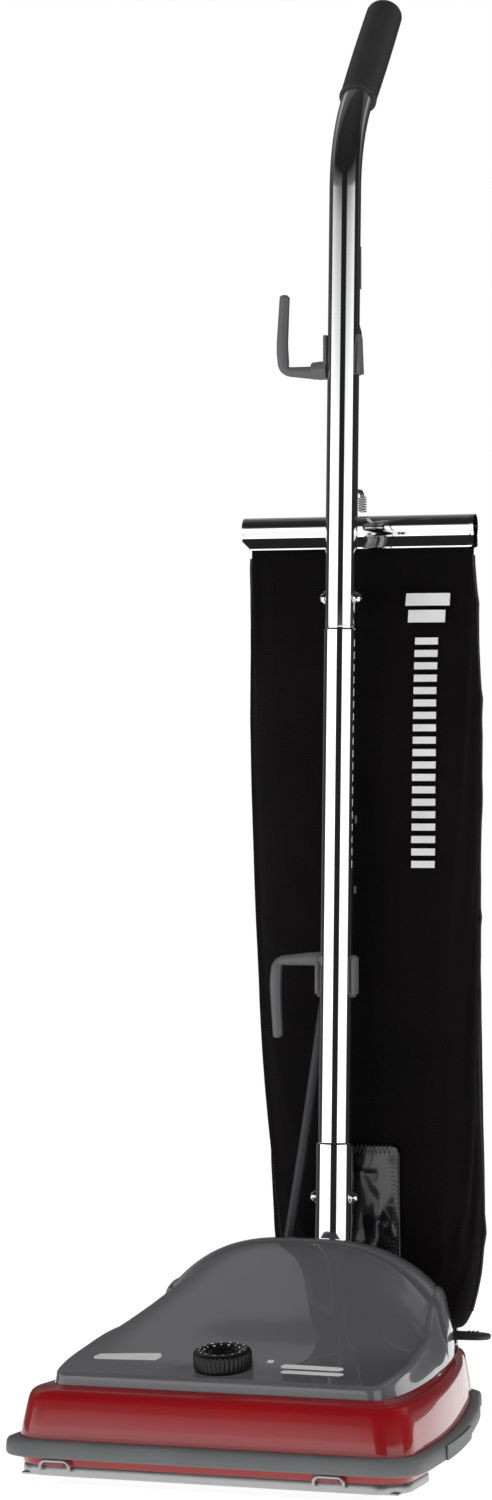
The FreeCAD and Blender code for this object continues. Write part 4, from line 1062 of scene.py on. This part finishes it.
def bag_ring(z):
    left, right, front, rear, square = eased(BAG_ROWS, z)
    cx, cy = (left + right) / 2, (front + rear) / 2
    a, b = (right - left) / 2, (rear - front) / 2
    out = []
    for k in range(BAG_ROUND):
        t = 2 * math.pi * k / BAG_ROUND
        c, n = math.cos(t), math.sin(t)
        x = cx + a * blunt(c, 2 / square)
        y = cy + b * blunt(n, 2 / square)
        way = Vector((c * b, n * a, 0)).normalized()
        fold = bag_fold(x, y, z) if b > 6 else -0.6
        out.append((x + way.x * fold, y + way.y * fold))
    return out


def settle_cloth(piece, pinned, reach):
    """Let the cloth sag and puff for a moment, then keep it within reach of where it started."""
    rest = [v.co.copy() for v in piece.data.vertices]
    group = piece.vertex_groups.new(name="held")
    group.add(pinned, 1.0, "REPLACE")
    step = piece.modifiers.new("cloth", "CLOTH")
    cloth = step.settings
    cloth.quality = 6
    cloth.mass = 0.28
    cloth.tension_stiffness = 30
    cloth.compression_stiffness = 12
    cloth.shear_stiffness = 8
    cloth.bending_stiffness = 0.6
    cloth.vertex_group_mass = "held"
    cloth.use_pressure = True
    cloth.uniform_pressure_force = 1.4
    cloth.effector_weights.gravity = 0.35
    scene = bpy.context.scene
    for number in range(1, 19):
        scene.frame_set(number)
    apply_modifiers(piece)
    scene.frame_set(1)
    for v, start in zip(piece.data.vertices, rest):
        move = v.co - start
        if move.length > reach * MM:
            v.co = start + move.normalized() * (reach * MM)


def make_bag():
    heights = [80.5, 82, 84.5, 88, 93] + [98 + 7.2 * i for i in range(85)]
    heights = [z for z in heights if z < 702] + [704, 708, 714, 720, 726]
    rings = [[at(x, y, z) for x, y in bag_ring(z)] for z in heights]
    bag = loft("dust_bag_shown", rings, angle=70)
    high, low = at(0, 0, 692).z, at(0, 0, 90).z
    seams = {tuple(round(c, 5) for c in ring[side]) for ring in rings for side in (0, BAG_ROUND // 2)}
    pinned = [v.index for v in bag.data.vertices
              if v.co.z > high or v.co.z < low or tuple(round(c, 5) for c in v.co) in seams]
    settle_cloth(bag, pinned, 3.5)
    subdivide(bag, 1)
    apply_modifiers(bag)
    shade(bag, 70)
    place(bag, "handle", "bag_cloth", ["dust_bag"])

    pieces = []
    for side in (0, BAG_ROUND // 2):
        path = []
        for i in range(80):
            z = 96 + (700 - 96) * i / 79
            x, y = bag_ring(z)[side]
            path.append(at(x + (0.5 if side == 0 else -0.5), y + 0.8 * math.sin(z / 31), z))
        pieces.append(tube_along("piping", path, 1.5, 10))
    piping = join("bag_side_piping", pieces)
    place(piping, "handle", "piping", slot="bag_cloth")


BAG_FRONTS = {}


def bag_front(x, z, lift=0.0):
    """A point on the front of the bag, from sections half a millimetre apart."""
    row = round(2 * z)
    if row not in BAG_FRONTS:
        middle = sum(eased(BAG_ROWS, row / 2)[2:4]) / 2
        BAG_FRONTS[row] = sorted(p for p in bag_ring(row / 2) if p[1] < middle)
    front = BAG_FRONTS[row]
    for (x0, y0), (x1, y1) in zip(front, front[1:]):
        if x0 <= x <= x1 and x1 > x0:
            return at(x, y0 + (y1 - y0) * (x - x0) / (x1 - x0) - lift, z)
    return at(x, min(front, key=lambda p: abs(p[0] - x))[1] - lift, z)


def zigzag(name, corners, wide, pitch, lift, radius, height_of):
    """A sewn zigzag along a route of corners given as (x, z)."""
    path = []
    flip = 1
    for (x0, z0), (x1, z1) in zip(corners, corners[1:]):
        length = math.hypot(x1 - x0, z1 - z0)
        count = max(int(length / pitch), 1)
        nx, nz = -(z1 - z0) / length, (x1 - x0) / length
        for i in range(count):
            t = (i + 0.5) / count
            x, z = x0 + (x1 - x0) * t + nx * wide * flip, z0 + (z1 - z0) * t + nz * wide * flip
            path.append(height_of(x, z, lift))
            flip = -flip
    return tube_along(name, path, radius, 5, angle=60)


PATCH = (-14, 43.5, 107, 229)


def patch_point(x, z, lift=0.0):
    """The stiff glossy panel stands proud of the bag and is dented like thick vinyl."""
    left, right, low, high = PATCH
    u, v = (x - left) / (right - left), (z - low) / (high - low)
    in_across, in_up = max(min(u, 1 - u), 0) * 2, max(min(v, 1 - v), 0) * 2
    crown = 1.6 * (1 - u) * smooth(0, 0.12, u) * smooth(0, 0.2, in_up)
    dent = 1.6 * smooth(0.30, 0.42, v) * smooth(0.72, 0.60, v) * smooth(0, 0.25, in_across)
    dent *= noise.noise(Vector((x / 20, 2.0, z / 26)))
    return bag_front(x, z, 1.3 + crown + dent + lift)


def make_patch():
    left, right, low, high = PATCH
    across, tall = 36, 60
    verts, faces = [], []
    for j in range(tall + 1):
        for i in range(across + 1):
            z = low + (high - low) * j / tall
            x = left + (right - left) * i / across + 2.0 * (1 - (z - low) / (high - low)) * (i / across)
            corner = 7.0
            dx = max(x - (right - corner), left + corner - x, 0)
            dz = max(z - (high - corner), 0)
            if math.hypot(dx, dz) > corner and dx > 0 and dz > 0:
                z -= dz - dz / math.hypot(dx, dz) * corner
                x -= math.copysign(dx - dx / math.hypot(dx, dz) * corner, x - (left + right) / 2)
            verts.append(patch_point(x, z))
            if i and j:
                n = across + 1
                faces.append(((j - 1) * n + i - 1, (j - 1) * n + i, j * n + i, j * n + i - 1))
    panel = add_mesh("bag_inlet_panel", verts, faces, 60)
    thick = panel.modifiers.new("thick", "SOLIDIFY")
    thick.thickness = 0.0012
    thick.offset = 0
    subdivide(panel, 1)
    apply_modifiers(panel)
    shade(panel, 60)
    place(panel, "handle", "patch_vinyl", ["bag_inlet_patch"])
    route = [(left + 3, low + 2), (left + 3, high - 9), (left + 7, high - 3.5), (right - 6, high - 3.5),
             (right - 3, high - 8), (right - 1.6, low + 2)]
    sewn = zigzag("panel_stitches", route, 3.4, 1.7, 1.2, 0.5, patch_point)
    place(sewn, "handle", "thread", slot="bag_cloth")


def make_bag_marks():
    """Plain pale blocks printed where a maker's words would be."""
    rows = [(42.0, 77.5, 659.5, 669.5), (45.0, 74.5, 646.0, 656.0)]
    rows += [(51.5, 69.5, 628.2 - 9.9 * i, 633.8 - 9.9 * i) for i in range(19)]
    blocks = []
    for x0, x1, z0, z1 in rows:
        n, m = 14, 6
        front, back = [], []
        for j in range(m + 1):
            for i in range(n + 1):
                x, z = x0 + (x1 - x0) * i / n, z0 + (z1 - z0) * j / m
                front.append(bag_front(x, z, 1.15))
                back.append(bag_front(x, z, 0.2))
        faces = []
        for j in range(m):
            for i in range(n):
                a = j * (n + 1) + i
                faces.append((a, a + 1, a + n + 2, a + n + 1))
                b = a + len(front)
                faces.append((b, b + n + 1, b + n + 2, b + 1))
        blocks.append(add_mesh("block", front + back, faces, 40))
    marks = join("bag_marks", blocks)
    place(marks, "handle", "white_print", slot="bag_cloth")


# ---- channel, hook and spring at the top of the bag ----
CHANNEL_Y = 66.0
CHANNEL_LOW = 706.0


def make_channel():
    """Rolled metal channel: a round upper lobe over the bag's hem and a flared lower lip."""
    front = [(0.0, 26.9), (-2.6, 26.6), (-5.0, 25.4), (-7.0, 23.3), (-8.3, 20.6), (-8.8, 17.6), (-8.5, 14.9),
             (-7.6, 12.7), (-6.7, 11.3), (-6.4, 10.4), (-6.6, 9.4), (-7.2, 7.6), (-8.0, 4.6), (-8.8, 1.9),
             (-8.95, 1.0), (-8.7, 0.3), (-8.1, 0.1), (-7.6, 0.5), (-7.3, 1.6)]
    inner = [(-5.4, 9.8), (-6.4, 12.6), (-7.4, 15.6), (-7.5, 18.0), (-6.9, 20.6), (-5.0, 23.6), (-2.4, 25.3),
             (0.0, 25.6)]
    half = front + inner
    rings = []
    stations = [-101, -100.6, -99.5] + [-98 + 1.5 * i for i in range(7)] + [-84 + 12 * i for i in range(14)]
    stations += [80 + 2.5 * i for i in range(5)] + [91.5, 93, 94.2, 95.1, 95.5]
    for x in stations:
        cut = max(0.0, (-92 - x) * 0.95) if x < -92 else 0.0
        cut = max(cut, 3.2 - math.sqrt(max(3.2 ** 2 - max(x - 92.3, 0) ** 2, 0)))
        pinch = 1.0 - 0.10 * (1 - smooth(-101, -99.2, x)) - 0.25 * smooth(93, 95.5, x)
        whole = half + [(-y, z) for y, z in reversed(half[1:-1])]
        rings.append([at(x, CHANNEL_Y + y * pinch, CHANNEL_LOW + (max(z, cut) if z < 10 else z))
                      for y, z in whole])
    channel = loft("bag_channel_shown", rings, caps=False, angle=32)
    place(channel, "channel", "chrome", ["bag_channel"])


def make_bag_hook():
    height = 752
    y = tube_y(height) + 12.2
    path = [at(0, y, height), at(0, CHANNEL_Y, height + 0.5), at(0, CHANNEL_Y, 736)]
    wire = tube_along("wire", rounded_path(path, 6, 8), 1.8, 20)
    plate = box_piece("plate", (-6.5, y - 1.5, height - 12), (6.5, y + 2.4, height + 12), 1.2)
    screws = [turned("screw", at(0, y + 2.0, height + dz), Vector((0, 1, 0)),
                     [(0, 2.9), (1.2, 2.8), (1.9, 2.2), (2.1, 0.02)], 20) for dz in (-7.5, 7.5)]
    hook = join("bag_hook_shown", [wire, plate] + screws)
    place(hook, "handle", "steel", ["bag_hook"])
    turns = 6
    coil = [at(3.0 * math.cos(2 * math.pi * i / 16), CHANNEL_Y + 3.0 * math.sin(2 * math.pi * i / 16),
               736.6 + 11.4 * i / (16 * turns)) for i in range(16 * turns + 1)]
    spring = tube_along("bag_spring_coil", coil, 0.6, 8)
    place(spring, "handle", "steel", ["bag_spring"])


# ---- wheels and brush ----
# y and z of each axle line
REAR_AXLE = (26, 25)
FRONT_AXLE = (-205, 13)
ROLLER_AXIS = (-262, 29)


def make_wheels():
    across = Vector((1, 0, 0))
    for side, name in ((-1, "left"), (1, "right")):
        profile = [(-8, 4.2), (-8, 15), (-7.4, 17.4), (-8, 18.4), (-8, 22.6), (-7.4, 24.1), (-6.2, 24.9)]
        for i in range(5):
            a = -5.4 + 2.4 * i
            profile += [(a, 24.95), (a + 0.5, 24.1), (a + 1.3, 24.1), (a + 1.8, 24.95)]
        profile += [(7.4, 24.1), (8, 22.6), (8, 18.4), (7.4, 17.4), (8, 15), (8, 4.2)]
        wheel = turned("rear_wheel_%s_shown" % name, at(side * 82, *REAR_AXLE), across, profile, 64, 32)
        place(wheel, "rear_%s_wheel" % name, "wheel_rubber", ["rear_wheel_" + name])
        cap = turned("axle_cap", at(side * 90.3, *REAR_AXLE), Vector((side, 0, 0)),
                     [(0.0, 6.5), (1.1, 6.4), (1.7, 5.4), (2.1, 3.2), (2.2, 0.02)], 32)
        place(cap, "base", "steel")
        profile = [(-7, 3.2), (-7, 8), (-6.4, 9), (-7, 9.8), (-7, 11.6), (-6.2, 12.6), (-4.6, 13), (-1.4, 13),
                   (-1, 12.4)]
        profile += [(-a, r) for a, r in reversed(profile)]
        small = turned("front_wheel_%s_shown" % name, at(side * 62, *FRONT_AXLE), across, profile, 48, 32)
        place(small, "front_%s_wheel" % name, "wheel_rubber", ["front_wheel_" + name])


def make_brush():
    """Two spiral rows of bristle tufts, each tuft a spread bundle."""
    source = random.Random(4)
    tufts = []
    middle = at(0, *ROLLER_AXIS)
    for row in (0, 180):
        for i in range(20):
            x = -114 + i * 12
            if abs(x) < 10:  # the belt runs here
                continue
            lean = math.radians(row + i * 9)
            for _ in range(9):
                a = lean + source.uniform(-0.16, 0.16)
                dx = source.uniform(-2.4, 2.4)
                out = Vector((source.uniform(-0.05, 0.05), -math.sin(a), math.cos(a)))
                root = middle + Vector(((x + dx) * MM, -math.sin(a) * 0.0138, math.cos(a) * 0.0138))
                path = [root, root + out * 0.005, root + out * 0.0099]
                tufts.append(tube_along("tuft", path, [0.55, 0.5, 0.35], 5))
    brush = join("bristle_tufts", tufts)
    place(brush, "roller", "bristle", ["roller_bristles"])


make_camera()
make_looks()
make_lead()
make_studio()
make_handle()
make_grip()
make_hooks()
make_base()
make_guard()
make_nozzle_guard()
make_clips()
make_hood()
make_hood_marks()
make_knob()
make_pedal()
make_bag()
make_patch()
make_bag_marks()
make_channel()
make_bag_hook()
make_wheels()
make_brush()

looks = {entry["node"]: LOOK[entry["material_slot"]] for entry in frame["record"]["subparts"]}
for node, piece in frame["nodes"].items():
    for filled in piece.material_slots:
        filled.material = looks[node]
